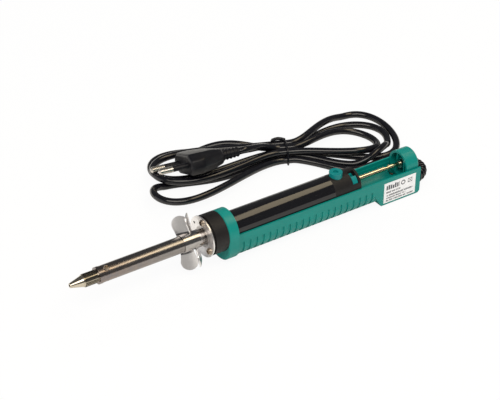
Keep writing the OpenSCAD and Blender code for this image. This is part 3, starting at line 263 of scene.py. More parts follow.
def rib_group(name, mat):
    """Geometry Nodes: rings set along a line, from a first to a last radius."""
    tree = bpy.data.node_groups.new(name, "GeometryNodeTree")
    face = tree.interface
    face.new_socket("Geometry", in_out="INPUT", socket_type="NodeSocketGeometry")
    names = [("Rings", "NodeSocketInt"), ("First Radius", "NodeSocketFloat"), ("Last Radius", "NodeSocketFloat"),
             ("Ring Thickness", "NodeSocketFloat")]
    ids = {n: face.new_socket(n, in_out="INPUT", socket_type=t).identifier for n, t in names}
    face.new_socket("Geometry", in_out="OUTPUT", socket_type="NodeSocketGeometry")

    def add(kind, **links):
        node = tree.nodes.new(kind)
        for key, value in links.items():
            socket = node.inputs[key.replace("_", " ")]
            if isinstance(value, bpy.types.NodeSocket):
                tree.links.new(value, socket)
            else:
                socket.default_value = value
        return node

    entry, leave = tree.nodes.new("NodeGroupInput"), tree.nodes.new("NodeGroupOutput")
    line = add("GeometryNodeMeshToCurve", Mesh=entry.outputs["Geometry"])
    points = add("GeometryNodeCurveToPoints", Curve=line.outputs["Curve"], Count=entry.outputs["Rings"])
    circle = tree.nodes.new("GeometryNodeCurvePrimitiveCircle")
    circle.inputs["Resolution"].default_value = 32
    circle.inputs["Radius"].default_value = 1.0
    wire = tree.nodes.new("GeometryNodeCurvePrimitiveCircle")
    wire.inputs["Resolution"].default_value = 10
    share = add("ShaderNodeMath", Value=0.0)
    share.operation = "DIVIDE"
    tree.links.new(entry.outputs["Ring Thickness"], share.inputs[0])
    tree.links.new(entry.outputs["First Radius"], share.inputs[1])
    tree.links.new(share.outputs[0], wire.inputs["Radius"])
    torus = add("GeometryNodeCurveToMesh", Curve=circle.outputs["Curve"], Profile_Curve=wire.outputs["Curve"])
    index = tree.nodes.new("GeometryNodeInputIndex")
    size = tree.nodes.new("ShaderNodeMapRange")
    tree.links.new(index.outputs[0], size.inputs["Value"])
    tree.links.new(entry.outputs["Rings"], size.inputs["From Max"])
    tree.links.new(entry.outputs["First Radius"], size.inputs["To Min"])
    tree.links.new(entry.outputs["Last Radius"], size.inputs["To Max"])
    put = add("GeometryNodeInstanceOnPoints", Points=points.outputs["Points"], Instance=torus.outputs["Mesh"],
              Rotation=points.outputs["Rotation"])
    tree.links.new(size.outputs["Result"], put.inputs["Scale"])
    real = add("GeometryNodeRealizeInstances", Geometry=put.outputs["Instances"])
    smooth = add("GeometryNodeSetShadeSmooth", Geometry=real.outputs["Geometry"])
    paint = add("GeometryNodeSetMaterial", Geometry=smooth.outputs["Geometry"], Material=mat)
    tree.links.new(paint.outputs["Geometry"], leave.inputs["Geometry"])
    return tree, ids


def rings_along(name, points, count, first, last, thickness, mat):
    """Rings along a line, made by the group and kept as a plain mesh."""
    mesh = bpy.data.meshes.new(name)
    mesh.from_pydata([tuple(p) for p in points], [(i, i + 1) for i in range(len(points) - 1)], [])
    made = bpy.data.objects.new(name, mesh)
    bpy.context.scene.collection.objects.link(made)
    tree, ids = rib_group(name + " group", mat)
    mod = made.modifiers.new(name, "NODES")
    mod.node_group = tree
    for key, value in (("Rings", count), ("First Radius", first), ("Last Radius", last),
                       ("Ring Thickness", thickness)):
        mod[ids[key]] = value
    return baked(made, name)


class Sock:
    """A shader socket, or a number, with arithmetic that makes Math nodes."""

    def __init__(self, shader, value):
        self.shader, self.value = shader, value

    def _math(self, kind, *others, **more):
        return self.shader.math(kind, self, *others, **more)

    def __add__(self, o): return self._math("ADD", o)
    __radd__ = __add__
    def __mul__(self, o): return self._math("MULTIPLY", o)
    __rmul__ = __mul__
    def __sub__(self, o): return self._math("SUBTRACT", o)
    def __pow__(self, o): return self._math("POWER", o)
    def __gt__(self, o): return self._math("GREATER_THAN", o)
    def __lt__(self, o): return self._math("LESS_THAN", o)
    def abs(self): return self._math("ABSOLUTE")
    def sin(self): return self._math("SINE")
    def fract(self): return self._math("FRACT")
    def floor(self): return self._math("FLOOR")
    def clamp(self): return self._math("ADD", 0.0, clamp=True)


class Shader:
    """A material in the making: one method makes nodes, the others name what is made."""

    def __init__(self, name):
        self.mat = bpy.data.materials.new(name)
        self.mat.use_nodes = True
        self.tree = self.mat.node_tree
        self.tree.nodes.clear()
        self.out = self.tree.nodes.new("ShaderNodeOutputMaterial")
        self.place = self.node("ShaderNodeTexCoord").outputs["Object"]

    def node(self, kind, links=(), **props):
        made = self.tree.nodes.new(kind)
        for key, value in props.items():
            setattr(made, key, value)
        for key, value in dict(links).items():
            socket = made.inputs[key]
            value = value.value if isinstance(value, Sock) else value
            if isinstance(value, bpy.types.NodeSocket):
                self.tree.links.new(value, socket)
            elif value is not None:
                socket.default_value = value
        return made

    def math(self, kind, *values, clamp=False):
        made = self.node("ShaderNodeMath", {i: v for i, v in enumerate(values)}, operation=kind, use_clamp=clamp)
        return Sock(self, made.outputs[0])

    def xyz(self):
        made = self.node("ShaderNodeSeparateXYZ", {0: self.place})
        return [Sock(self, s) for s in made.outputs]

    def scaled(self, x, y, z):
        return self.node("ShaderNodeMapping", {"Vector": self.place, "Scale": (x, y, z)}).outputs[0]

    def noise(self, scale, detail=2.0, rough=0.5, place=None, warp=0.0):
        made = self.node("ShaderNodeTexNoise", {"Vector": place or self.place, "Scale": scale, "Detail": detail,
                                                "Roughness": rough, "Distortion": warp})
        return Sock(self, made.outputs[0])

    def ramp(self, value, low, high, to_low=0.0, to_high=1.0):
        made = self.node("ShaderNodeMapRange", {"Value": value, "From Min": low, "From Max": high,
                                                "To Min": to_low, "To Max": to_high})
        return Sock(self, made.outputs["Result"])

    def mix(self, share, a, b):
        made = self.node("ShaderNodeMix", {0: share, 6: tint(a), 7: tint(b)}, data_type="RGBA")
        return made.outputs[2]

    def bump(self, height, strength, distance, normal=None):
        made = self.node("ShaderNodeBump", {"Height": height, "Strength": strength, "Distance": distance,
                                            "Normal": normal})
        return made.outputs[0]

    def finish(self, color, rough, metal=0.0, coat=0.0, normal=None, coat_rough=0.05, ior=1.5):
        made = self.node("ShaderNodeBsdfPrincipled", {
            "Base Color": tint(color), "Roughness": rough, "Metallic": metal, "Coat Weight": coat,
            "Coat Roughness": coat_rough, "IOR": ior, "Normal": normal})
        self.tree.links.new(made.outputs[0], self.out.inputs[0])
        return self.mat


def tint(c):
    """A colour of three numbers with its alpha, or the socket as it is."""
    if isinstance(c, (tuple, list)) and len(c) == 3:
        return (*c, 1.0)
    return c


def from_axis(y, z):
    """Distance from the tool's axis."""
    up = z - AXIS_Z
    return (y * y + up * up) ** 0.5


def plated(name, color, rough, turned=0.3, dull=0.06):
    """Bright plated metal: fine turning marks round the axis, finger marks and a few darker specks; on the knurl,
    painted shade darkens the band and paints dark stripes for its grooves.
    """
    s = Shader(name)
    x, y, z = s.xyz()
    marks = s.noise(1.0, 3.0, 0.6, s.scaled(9000, 300, 300))
    film = s.noise(260, 3.0)
    # painted shade: stripes across the knurl, dark where the shade of its grooves would fall
    knurl_painted_groove_shade = ((y * 5600.0).sin() * 0.5 + 0.5) * (x > KNURL[0]) * (x < KNURL[1])
    specks = s.ramp(s.noise(1900, 2.0), 0.7, 0.78)
    shade = s.mix(s.ramp(film, 0.35, 0.75), color, [c * 0.86 for c in color])
    shade = s.mix(specks * 0.35, shade, [c * 0.45 for c in color])
    # painted shade: the whole knurled band darkened, then its groove stripes darkened nearly to black
    shade = s.mix((x > KNURL[0]) * (x < KNURL[1]) * 0.5, shade, [c * 0.4 for c in color])
    shade = s.mix(knurl_painted_groove_shade * 0.8, shade, [c * 0.1 for c in color])
    return s.finish(shade, s.ramp(film, 0.3, 0.8, rough, rough + dull) + marks * 0.04, 1.0,
                    normal=s.bump(marks, turned, 0.00002))


def tube_metal():
    """Dark brushed tube: marks round the tube, straw and blue heat tint towards the nozzle, small scratches."""
    s = Shader("tube metal")
    x, y, z = s.xyz()
    marks = s.noise(1.0, 3.0, 0.7, s.scaled(14000, 180, 180))
    runs = s.noise(1.0, 2.0, 0.5, s.scaled(160, 1800, 1800))
    heat = s.ramp(x + s.noise(90, 2.0) * 0.008, -0.098, -0.060)
    cool = s.mix(s.ramp(runs, 0.4, 0.7), (0.25, 0.235, 0.23), (0.34, 0.315, 0.30))
    warm = s.mix(s.ramp(s.noise(220, 2.0), 0.35, 0.7), (0.29, 0.235, 0.205), (0.23, 0.215, 0.225))
    scratch = s.ramp(s.noise(1.0, 1.0, 0.5, s.scaled(700, 9000, 5000)), 0.68, 0.72)
    shade = s.mix(heat, warm, cool)
    shade = s.mix(scratch * 0.35, shade, (0.6, 0.57, 0.53))
    rough = s.ramp(runs, 0.3, 0.8, 0.14, 0.24) + marks * 0.05
    return s.finish(shade, rough, 1.0, normal=s.bump(marks, 0.2, 0.00003))


def mirror_metal():
    """Bright sheet steel: nearly a mirror, with faint rolling lines and wiped smudges; painted reflection keeps the
    collar near the axis dark and the blades bright.
    """
    s = Shader("bright steel")
    x, y, z = s.xyz()
    # painted reflection: from the collar's radius outwards the colour turns from the painted dark collar to the painted
    # bright blades; the blades are also rougher
    blade_mask_painted_light_and_rough = s.ramp(from_axis(y, z), *COLLAR_R)
    lines = s.noise(1.0, 2.0, 0.6, s.scaled(600, 900, 9000))
    smudge = s.noise(240, 3.0, 0.6, warp=0.6)
    # painted dark reflection on the collar, varied by the smudges
    collar_painted_dark = s.mix(s.ramp(smudge, 0.4, 0.8), (0.46, 0.44, 0.43), (0.34, 0.32, 0.32))
    # painted bright reflection on the blades, varied by the smudges
    sheet = s.mix(s.ramp(smudge, 0.4, 0.8), (0.93, 0.915, 0.92), (0.80, 0.785, 0.80))
    shade = s.mix(blade_mask_painted_light_and_rough, collar_painted_dark, sheet)
    return s.finish(shade, s.ramp(smudge, 0.3, 0.8, 0.12, 0.22) + blade_mask_painted_light_and_rough * 0.2, 1.0, normal=s.bump(lines, 0.12, 0.00002))


def screw_metal():
    s = Shader("screw steel")
    grain = s.noise(2600, 3.0)
    age = s.ramp(s.noise(520, 3.0), 0.4, 0.7)
    shade = s.mix(age, (0.50, 0.43, 0.35), (0.30, 0.23, 0.175))
    return s.finish(shade, s.ramp(grain, 0.3, 0.7, 0.24, 0.42), 1.0, normal=s.bump(grain, 0.2, 0.00004))


def brass_metal():
    """Pale brass of the plunger: drawn lines along it and a slight tarnish."""
    s = Shader("brass")
    drawn = s.noise(1.0, 2.0, 0.5, s.scaled(120, 7000, 7000))
    age = s.ramp(s.noise(170, 3.0, 0.6), 0.45, 0.75)
    shade = s.mix(age, (0.86, 0.79, 0.58), (0.72, 0.60, 0.38))
    return s.finish(shade, s.ramp(drawn, 0.3, 0.7, 0.14, 0.26), 1.0, normal=s.bump(drawn, 0.15, 0.00002))


def wire_metal(name, color, rough):
    s = Shader(name)
    film = s.noise(700, 2.0)
    shade = s.mix(film, color, [c * 0.7 for c in color])
    return s.finish(shade, s.ramp(film, 0.3, 0.7, rough, rough + 0.15), 1.0,
                    normal=s.bump(s.noise(4200, 1.0), 0.1, 0.00002))


def moulded(name, color, light, rough, coat, grain_size=5200, grain=0.10, dust=0.0):
    """Moulded plastic: very fine grain, slow waviness, paler flow marks and a little dust."""
    s = Shader(name)
    fine = s.noise(grain_size, 2.0)
    slow = s.noise(75, 2.0)
    flow = s.ramp(s.noise(1.0, 3.0, 0.55, s.scaled(34, 190, 190)), 0.42, 0.75)
    shade = s.mix(flow * 0.55, color, light)
    if dust:
        specks = s.ramp(s.noise(2400, 1.0), 0.72, 0.75)
        shade = s.mix(specks * dust, shade, (0.35, 0.36, 0.36))
    rub = s.ramp(s.noise(420, 4.0, 0.65), 0.4, 0.75)
    normal = s.bump(slow, 0.25, 0.0004)
    return s.finish(shade, s.ramp(rub, 0.0, 1.0, rough, rough + 0.12), 0.0, coat,
                    s.bump(fine, grain, 0.00005, normal), 0.12, 1.36)


def barrel_finish():
    """Gloss black enamel on the barrel: deep, with orange peel and hairline scratches."""
    s = Shader("barrel black")
    peel = s.noise(900, 2.0)
    hair = s.ramp(s.noise(1.0, 1.0, 0.5, s.scaled(260, 9000, 9000)), 0.70, 0.73)
    haze = s.ramp(s.noise(130, 3.0), 0.4, 0.8)
    shade = s.mix(hair * 0.25, (0.006, 0.006, 0.008), (0.10, 0.095, 0.09))
    return s.finish(shade, s.ramp(haze, 0.0, 1.0, 0.06, 0.14), 0.0, 0.25, s.bump(peel, 0.05, 0.00004), 0.03, 1.42)


def cord_finish():
    """Cord sheath: black PVC with a soft gloss, faint lengthwise drag and scuffs."""
    s = Shader("cord black")
    scuff = s.ramp(s.noise(330, 4.0, 0.65), 0.52, 0.8)
    shade = s.mix(scuff * 0.35, (0.004, 0.004, 0.007), (0.02, 0.02, 0.027))
    fine = s.noise(3600, 2.0)
    return s.finish(shade, s.ramp(scuff, 0.0, 1.0, 0.17, 0.30), 0.0, 0.15, s.bump(fine, 0.06, 0.00003), 0.12)


def rubbery(name, color, rough=0.55):
    s = Shader(name)
    fine = s.noise(3000, 3.0)
    shade = s.mix(s.ramp(s.noise(300, 3.0), 0.4, 0.7), color, [c * 1.5 + 0.004 for c in color])
    return s.finish(shade, s.ramp(fine, 0.3, 0.7, rough, rough + 0.15), 0.0, 0.0, s.bump(fine, 0.2, 0.00006))


def fired(name, color):
    """Ceramic: chalky, speckled, with a few brown heat marks."""
    s = Shader(name)
    chalk = s.noise(1600, 4.0)
    burn = s.ramp(s.noise(210, 3.0), 0.55, 0.8)
    shade = s.mix(burn, color, (0.42, 0.33, 0.22))
    return s.finish(shade, s.ramp(chalk, 0.3, 0.7, 0.6, 0.8), normal=s.bump(chalk, 0.3, 0.00008))


def braided():
    """Woven sleeve of the heater's leads: crossing ribs round each lead, with painted shade in the valleys between the
    ribs.
    """
    s = Shader("lead sleeve")
    x, y, z = s.xyz()
    weave_relief_and_painted_shade = ((x * 5200 + y * 5200 + z * 3900).sin() * (x * 5200 - y * 5200 - z * 3900).sin()).abs()
    dirt = s.ramp(s.noise(420, 3.0), 0.45, 0.8)
    shade = s.mix(dirt, (0.74, 0.69, 0.58), (0.50, 0.42, 0.30))
    # painted shade: the valleys between the ribs darkened
    return s.finish(s.mix(weave_relief_and_painted_shade, s.mix(0.35, shade, (0.2, 0.16, 0.1)), shade), 0.85,
                    normal=s.bump(weave_relief_and_painted_shade, 0.6, 0.0001))


def printed_label():
    """White plastic label with generic grey print: a bold bar, marks and rows of broken lines, but no words."""
    s = Shader("label white")
    x, y, z = s.xyz()
    u = (x - LABEL_AT[0]) * (1 / LABEL_SIZE[0])
    v = (z - LABEL_AT[1]) * (1 / LABEL_SIZE[1])

    def row(low, high, first, last, pitch, share, seed):
        part = (v > low) * (v < high) * (u > first) * (u < last)
        cell = (u * pitch).floor()
        gap = (u * pitch).fract() < share
        word = ((cell * 12.9898 + seed).sin() * 43758.5).fract() > 0.18
        tall = (((cell + 3.0) * 7.233 + seed).sin() * 9631.2).fract() * 0.35 + 0.65
        return part * gap * word * ((v - low) < tall * (high - low))

    ink = row(0.64, 0.90, 0.07, 0.48, 15, 0.76, 1.3)
    ring = (((u - 0.60) * 1.705) ** 2.0 + (v - 0.76) ** 2.0) ** 0.5
    ink = ink + ((ring - 0.095).abs() < 0.024)
    frame_u, frame_v = ((u - 0.82) * 1.705).abs(), (v - 0.76).abs()
    outer = (frame_u < 0.12) * (frame_v < 0.105)
    inner = (frame_u < 0.095) * (frame_v < 0.08)
    ink = ink + (outer - inner) + inner * ((frame_u - frame_v).abs() < 0.02) * 0.8
    for low, high, last, pitch, seed in ((0.47, 0.56, 0.52, 44, 2.1), (0.31, 0.40, 0.92, 46, 5.7),
                                         (0.19, 0.26, 0.70, 52, 8.2), (0.06, 0.14, 0.94, 46, 3.3)):
        ink = ink + row(low, high + 0.012, 0.07, last, pitch, 0.78, seed)
    sheen = s.noise(700, 2.0)
    shade = s.mix(s.ramp(s.noise(110, 2.0), 0.3, 0.8), (0.90, 0.91, 0.95), (0.82, 0.84, 0.89))
    shade = s.mix(ink.clamp() * 0.95, shade, (0.025, 0.03, 0.045))
    return s.finish(shade, s.ramp(sheen, 0.3, 0.7, 0.3, 0.42), 0.0, 0.2, s.bump(sheen, 0.06, 0.00004))


FINISHES = {
    "nozzle_metal": lambda: plated("nozzle metal", (0.62, 0.565, 0.46), 0.10),
    "tube_metal": tube_metal,
    "bright_steel": mirror_metal,
    "screw_steel": screw_metal,
    "brass": brass_metal,
    "spring_steel": lambda: wire_metal("spring steel", (0.56, 0.56, 0.57), 0.25),
    "ceramic": lambda: fired("ceramic", (0.82, 0.79, 0.72)),
    "heater_wire": lambda: wire_metal("heater wire", (0.42, 0.35, 0.31), 0.4),
    "black_matte": lambda: moulded("black matte", (0.009, 0.008, 0.009), (0.018, 0.016, 0.016), 0.46, 0.0,
                                   3000, 0.22, 0.15),
    "barrel_black": barrel_finish,
    "green_plastic": lambda: moulded("green plastic", (0.0, 0.225, 0.20), (0.0, 0.272, 0.24), 0.36, 0.08,
                                     dust=0.12),
    "button_teal": lambda: moulded("button teal", (0.0, 0.20, 0.205), (0.0, 0.25, 0.25), 0.34, 0.1, dust=0.1),
    "seal_rubber": lambda: rubbery("seal rubber", (0.42, 0.09, 0.05), 0.45),
    "ring_rubber": lambda: rubbery("ring rubber", (0.018, 0.018, 0.018)),
    "lead_sleeve": braided,
    "core_brown": lambda: moulded("core brown", (0.15, 0.05, 0.02), (0.2, 0.07, 0.03), 0.3, 0.2),
    "block_plastic": lambda: moulded("block plastic", (0.78, 0.76, 0.68), (0.84, 0.82, 0.75), 0.45, 0.0),
    "label_white": printed_label,
    "cord_black": cord_finish,
    "plug_black": lambda: moulded("plug black", (0.005, 0.005, 0.008), (0.012, 0.012, 0.017), 0.38, 0.05,
                                  3800, 0.3, 0.1),
    "pin_nickel": lambda: plated("pin nickel", (0.70, 0.66, 0.60), 0.16, 0.15, 0.12),
}
_made = {}


def finish_of(slot):
    if slot not in _made:
        _made[slot] = FINISHES[slot]()
    return _made[slot]


def dress(made, slot, body="iron"):
    """Gives a piece its finish and its body."""
    made.data.materials.clear()
    made.data.materials.append(finish_of(slot))
    for f in made.data.polygons:
        f.material_index = 0
    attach(made, body)
    return made


class CordSizes(bpy.types.PropertyGroup):
    """Sizes of the cord and its tie."""
    cord_d: bpy.props.FloatProperty(name="Cord Diameter", description="Outside diameter of the cord",
                                    default=CORD_D * MM, min=0.003, max=0.008, unit="LENGTH")
    tie_d: bpy.props.FloatProperty(name="Tie Wire", description="Diameter of the tie's covered wire",
                                   default=0.0012, min=0.0006, max=0.002, unit="LENGTH")
    twists: bpy.props.IntProperty(name="Twists", description="Turns of the tie's twisted ends", default=5, min=1,
                                  max=12)


class PlugSizes(bpy.types.PropertyGroup):
    """Sizes of the plug's body and of the ribbed boots."""
    width: bpy.props.FloatProperty(name="Width", description="Width of the plug at its face", default=0.0353,
                                   min=0.02, max=0.04, unit="LENGTH")
    depth: bpy.props.FloatProperty(name="Depth", description="Thickness of the plug at its face", default=0.0137,
                                   min=0.01, max=0.016, unit="LENGTH")
    soft: bpy.props.FloatProperty(name="Edge", description="Rounding of the plug's edges", default=0.0009,
                                  min=0.0002, max=0.002, unit="LENGTH")
    boot_ribs: bpy.props.IntProperty(name="Boot Ribs", description="Ribs of the boot at the handle", default=10,
                                     min=2, max=20)
    plug_ribs: bpy.props.IntProperty(name="Plug Ribs", description="Ribs of the plug's own boot", default=5,
                                     min=2, max=12)


class StageSizes(bpy.types.PropertyGroup):
    """The photo's camera and the studio."""
    lens: bpy.props.FloatProperty(name="Lens", description="Focal length that fits the photo, on 36 mm",
                                  default=120.0, min=50, max=300)
    floor: bpy.props.FloatProperty(name="Floor", description="Width of the plain floor", default=8.0, min=2,
                                   max=20, unit="LENGTH")
    fill: bpy.props.FloatProperty(name="Surround", description="Strength of the even surrounding light",
                                  default=0.42, min=0, max=3)
    mirrored: bpy.props.FloatProperty(name="Mirrored Surround", description="Strength of the surround in mirrors",
                                      default=0.13, min=0, max=3)


class IRON_OT_cord(bpy.types.Operator):
    """Builds the cord from the boot through the tied bundle to the plug"""
    bl_idname = "iron.cord"
    bl_label = "Cord"

    def execute(self, context):
        sizes = context.scene.iron_cord
        line = metres(cord_line())
        cord = dress(tube("cord", line, sizes.cord_d / 2, 20), "cord_black")
        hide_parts("cord_lead", "cord_hank", "cord_tail")
        return {"FINISHED"}


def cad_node(name):
    return frame["nodes"][name]


class IRON_OT_tie(bpy.types.Operator):
    """Builds the wire tie round the bundle's waist, with its twisted ends"""
    bl_idname = "iron.tie"
    bl_label = "Wire Tie"

    def execute(self, context):
        sizes = context.scene.iron_cord
        r = CORD_D / 2 + 0.05 + sizes.tie_d / MM / 2
        centres = np.array([(SLOTS[2][0], 0), (SLOTS[4][0], LAYER_H), (-SLOTS[4][0], LAYER_H), (-SLOTS[2][0], 0)])
        edge = []
        for a in np.linspace(0, 2 * math.pi, 97)[:-1]:
            n = np.array([math.cos(a), math.sin(a)])
            edge.append(centres[int((centres @ n).argmax())] + r * n)
        edge = np.array(edge)
        full = []
        for p, q in zip(edge, np.roll(edge, -1, axis=0)):
            n = max(1, int(np.linalg.norm(q - p) / 0.35))
            full += [p + (q - p) * i / n for i in range(n)]
        full = np.array(full)
        centre = np.array([WAIST[0], WAIST[1], GROUND_Z])
        loop = centre + full[:, :1] * WAIST_ACROSS + full[:, 1:] * np.array([0, 0, 1.0])
        loop[:, 2] = np.maximum(loop[:, 2], -19.5 + sizes.tie_d / MM / 2)
        pieces = [tube("loop", metres(loop), sizes.tie_d / 2, 12, ring=True)]
        start = centre + WAIST_ACROSS * (SLOTS[4][0] - 1.0) + np.array([0, 0, LAYER_H + r + 0.5])
        t = np.linspace(0, 1, 60)
        spine = start + np.outer(t * 9.0, -WAIST_WAY) + np.outer(np.sin(t * 3.0) * 0.9, WAIST_ACROSS)
        spine[:, 2] += 0.7 * np.sin(t * math.pi)
        for k in (0, 1):
            turn = t * 2 * math.pi * sizes.twists + k * math.pi
            wave = np.outer(np.cos(turn) * 0.6, WAIST_ACROSS) + np.outer(np.sin(turn) * 0.6, [0, 0, 1.0])
            pieces.append(tube("twist", metres(spine + wave), sizes.tie_d / 2, 10))
        tie = dress(joined("tie", pieces), "cord_black")
        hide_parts("cord_tie")
        return {"FINISHED"}


class IRON_OT_boot(bpy.types.Operator):
    """Builds the ribbed boot where the cord leaves the handle"""
    bl_idname = "iron.boot"
    bl_label = "Boot"

    def execute(self, context):
        sizes = context.scene.iron_plug
        line = relief_line(60)
        d0, d1 = RELIEF_D
        run = np.concatenate([[0], np.cumsum(np.linalg.norm(np.diff(line, axis=0), axis=1))])
        core = (d0 + (d1 - d0) * run / run[-1]) / 2 - RIB_DEPTH
        core[-1] = core[-2] = d1 / 2 - 0.35
        mat = finish_of("cord_black")
        pieces = [tube("core", metres(line), core * MM, 32)]
        inset = np.array([np.interp(np.linspace(1.0, run[-1] - 1.1, 60), run, line[:, k]) for k in range(3)]).T
        pieces.append(rings_along("boot ribs", metres(inset), sizes.boot_ribs, (d0 / 2 - RIB_SINK) * MM,
                                  (d1 / 2 - RIB_SINK) * MM, RIB_R, mat))
        neck = np.array([[BODY_L - 2.0, 0, -CORD_Z], [BODY_L + 1.2, 0, -CORD_Z]])
        pieces.append(tube("neck", metres(neck), 0.0035, 32))
        boot = dress(joined("boot", pieces), "cord_black")
        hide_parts("strain_relief")
        return {"FINISHED"}


class IRON_OT_plug(bpy.types.Operator):
    """Builds the flat plug's moulded body with its own ribbed boot"""
    bl_idname = "iron.plug"
    bl_label = "Plug"

    def execute(self, context):
        sizes = context.scene.iron_plug
        w, t = sizes.width / MM, sizes.depth / MM
        rows = [(0, w - 2.4, t - 2.4, 4.2), (1.0, w, t, 5.4), (9.0, w, t, 5.4),
                (PLUG_L * 0.65, (w + 15.0) / 2, t - 1.0, 5.4), (PLUG_L - 1.2, 15.0, 9.5, 3.8),
                (PLUG_L, 12.6, 7.4, 2.6)]
        verts = []
        for x, width, depth, edge in rows:
            a, b, c, d = width / 2, width / 2 * 0.7, depth / 2, edge / 2
            verts += [(-x, p, q) for p, q in ((a, d), (b, c), (-b, c), (-a, d), (-a, -d), (-b, -c), (b, -c), (a, -d))]
        n = 8
        faces = [tuple(range(n))[::-1], tuple(range((len(rows) - 1) * n, len(rows) * n))]
        faces += [(i * n + k, i * n + (k + 1) % n, (i + 1) * n + (k + 1) % n, (i + 1) * n + k)
                  for i in range(len(rows) - 1) for k in range(n)]
        move = plug_frame()
        body = new_mesh("plug body", [move @ (Vector(v) * MM) for v in verts], faces)
        edge = body.modifiers.new("edge", "BEVEL")
        edge.width, edge.segments, edge.limit_method, edge.angle_limit = sizes.soft, 4, "ANGLE", math.radians(9)
        baked(body, "plug body")
        out = [[-PLUG_L + 0.5, 0, 0], [-PLUG_L - PLUG_RELIEF_L, 0, 0]]
        core = np.array([move @ (Vector(p) * MM) for p in np.linspace(out[0], out[1], 24)])
        radii = np.linspace(3.35, 2.75, 24) * MM
        pieces = [body, tube("plug core", core, radii, 28)]
        line = np.array([move @ (Vector(p) * MM) for p in np.linspace([-PLUG_L - 1.2, 0, 0],
                                                                     [-PLUG_L - PLUG_RELIEF_L + 0.9, 0, 0], 24)])
        pieces.append(rings_along("plug ribs", line, sizes.plug_ribs, 0.00315, 0.0026, 0.0007,
                                  finish_of("plug_black")))
        plug = dress(joined("plug", pieces), "plug_black")
        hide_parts("plug_body")
        return {"FINISHED"}


class IRON_OT_finishes(bpy.types.Operator):
    """Gives each CAD piece the finish of its slot in the record"""
    bl_idname = "iron.finishes"
    bl_label = "Finishes"

    def execute(self, context):
        for row in frame["record"]["subparts"]:
            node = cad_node(row["node"])
            node.data.materials.clear()
            node.data.materials.append(finish_of(row["material_slot"]))
        return {"FINISHED"}


def add_area(name, place, size, power, color, seen):
    """A rectangular lamp that points at the part's origin."""
    lamp = bpy.data.lights.new(name, "AREA")
    lamp.shape, lamp.size, lamp.size_y, lamp.energy, lamp.color = "RECTANGLE", size[0], size[1], power, color
    made = bpy.data.objects.new(name, lamp)
    made.location = place
    made.rotation_mode = "QUATERNION"
    made.rotation_quaternion = (-Vector(place)).to_track_quat("-Z", "Y")
    made.visible_glossy = seen
    bpy.context.scene.collection.objects.link(made)


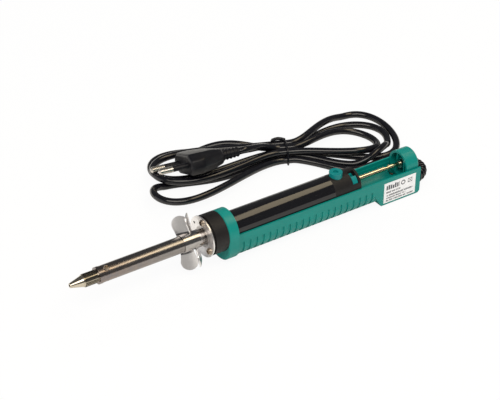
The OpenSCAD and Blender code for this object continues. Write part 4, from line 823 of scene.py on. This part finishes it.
class IRON_OT_stage(bpy.types.Operator):
    """Sets the photo's camera, a plain pale floor and soft studio light"""
    bl_idname = "iron.stage"
    bl_label = "Stage"

    def execute(self, context):
        sizes = context.scene.iron_stage
        scene = context.scene
        az, el, roll = (math.radians(v) for v in VIEW_TURN)
        back = Vector((math.sin(az) * math.cos(el), -math.cos(az) * math.cos(el), math.sin(el)))
        right = Vector((math.cos(az), math.sin(az), 0))
        up = back.cross(right)
        r2 = right * math.cos(roll) + up * math.sin(roll)
        u2 = up * math.cos(roll) - right * math.sin(roll)
        eye = Vector(VIEW_AT) + back * VIEW_FAR
        data = bpy.data.cameras.new("photo camera")
        data.lens, data.sensor_width, data.sensor_fit = sizes.lens, 36.0, "HORIZONTAL"
        data.clip_start, data.clip_end = 0.01, 50
        cam = bpy.data.objects.new("photo camera", data)
        cam.matrix_world = Matrix(((r2.x, u2.x, back.x, eye.x), (r2.y, u2.y, back.y, eye.y),
                                   (r2.z, u2.z, back.z, eye.z), (0, 0, 0, 1)))
        scene.collection.objects.link(cam)
        scene.camera = cam
        h = sizes.floor / 2
        corners = [(x * h, y * h, -FLOOR_DROP) for x, y in ((-1, -1), (1, -1), (1, 1), (-1, 1))]
        floor = new_mesh("floor", corners, [(0, 1, 2, 3)], False)
        s = Shader("floor white")
        rays = s.node("ShaderNodeLightPath")
        plain = s.node("ShaderNodeBsdfDiffuse", {"Color": (*[FLOOR_WHITE] * 3, 1)})
        glow = s.node("ShaderNodeEmission", {"Color": (1, 1, 1, 1), "Strength": 1.0})
        blend = s.node("ShaderNodeMixShader", {0: Sock(s, rays.outputs["Is Camera Ray"]) * FLOOR_GLOW,
                                               1: plain.outputs[0], 2: glow.outputs[0]})
        s.tree.links.new(blend.outputs[0], s.out.inputs[0])
        floor.data.materials.append(s.mat)
        world = bpy.data.worlds.new("studio")
        scene.world = world
        world.use_nodes = True
        tree = world.node_tree
        ground = tree.nodes["Background"]
        ground.inputs["Color"].default_value = (0.96, 0.98, 1.0, 1)
        path = tree.nodes.new("ShaderNodeLightPath")
        level = tree.nodes.new("ShaderNodeMapRange")
        level.inputs["To Min"].default_value = sizes.fill
        level.inputs["To Max"].default_value = sizes.mirrored
        tree.links.new(path.outputs["Is Glossy Ray"], level.inputs["Value"])
        tree.links.new(level.outputs["Result"], ground.inputs["Strength"])
        for row in LAMPS:
            add_area(*row)
        scene.view_settings.view_transform = "Standard"
        scene.view_settings.look = "None"
        scene.render.film_transparent = False
        return {"FINISHED"}


class IRON_PT_panel(bpy.types.Panel):
    """The sizes and the steps, in the sidebar"""
    bl_idname = "IRON_PT_panel"
    bl_label = "Desoldering Iron"
    bl_space_type = "VIEW_3D"
    bl_region_type = "UI"
    bl_category = "Iron"

    def draw(self, context):
        for group in ("iron_cord", "iron_plug", "iron_stage"):
            sizes = getattr(context.scene, group)
            box = self.layout.box()
            for name in sizes.bl_rna.properties.keys():
                if name not in ("rna_type", "name"):
                    box.prop(sizes, name)
        for step in STEPS:
            self.layout.operator(step.bl_idname)


GROUPS = {"iron_cord": CordSizes, "iron_plug": PlugSizes, "iron_stage": StageSizes}
STEPS = (IRON_OT_stage, IRON_OT_finishes, IRON_OT_boot, IRON_OT_plug, IRON_OT_tie, IRON_OT_cord)


def register():
    for cls in (*GROUPS.values(), *STEPS, IRON_PT_panel):
        bpy.utils.register_class(cls)
    for name, cls in GROUPS.items():
        setattr(bpy.types.Scene, name, bpy.props.PointerProperty(type=cls))


def unregister():
    for name in GROUPS:
        delattr(bpy.types.Scene, name)
    for cls in (IRON_PT_panel, *reversed(STEPS), *reversed(list(GROUPS.values()))):
        bpy.utils.unregister_class(cls)


def main():
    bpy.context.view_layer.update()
    register()
    for step in STEPS:
        group, name = step.bl_idname.split(".")
        getattr(getattr(bpy.ops, group), name)()


if __name__ == "__main__":
    main()
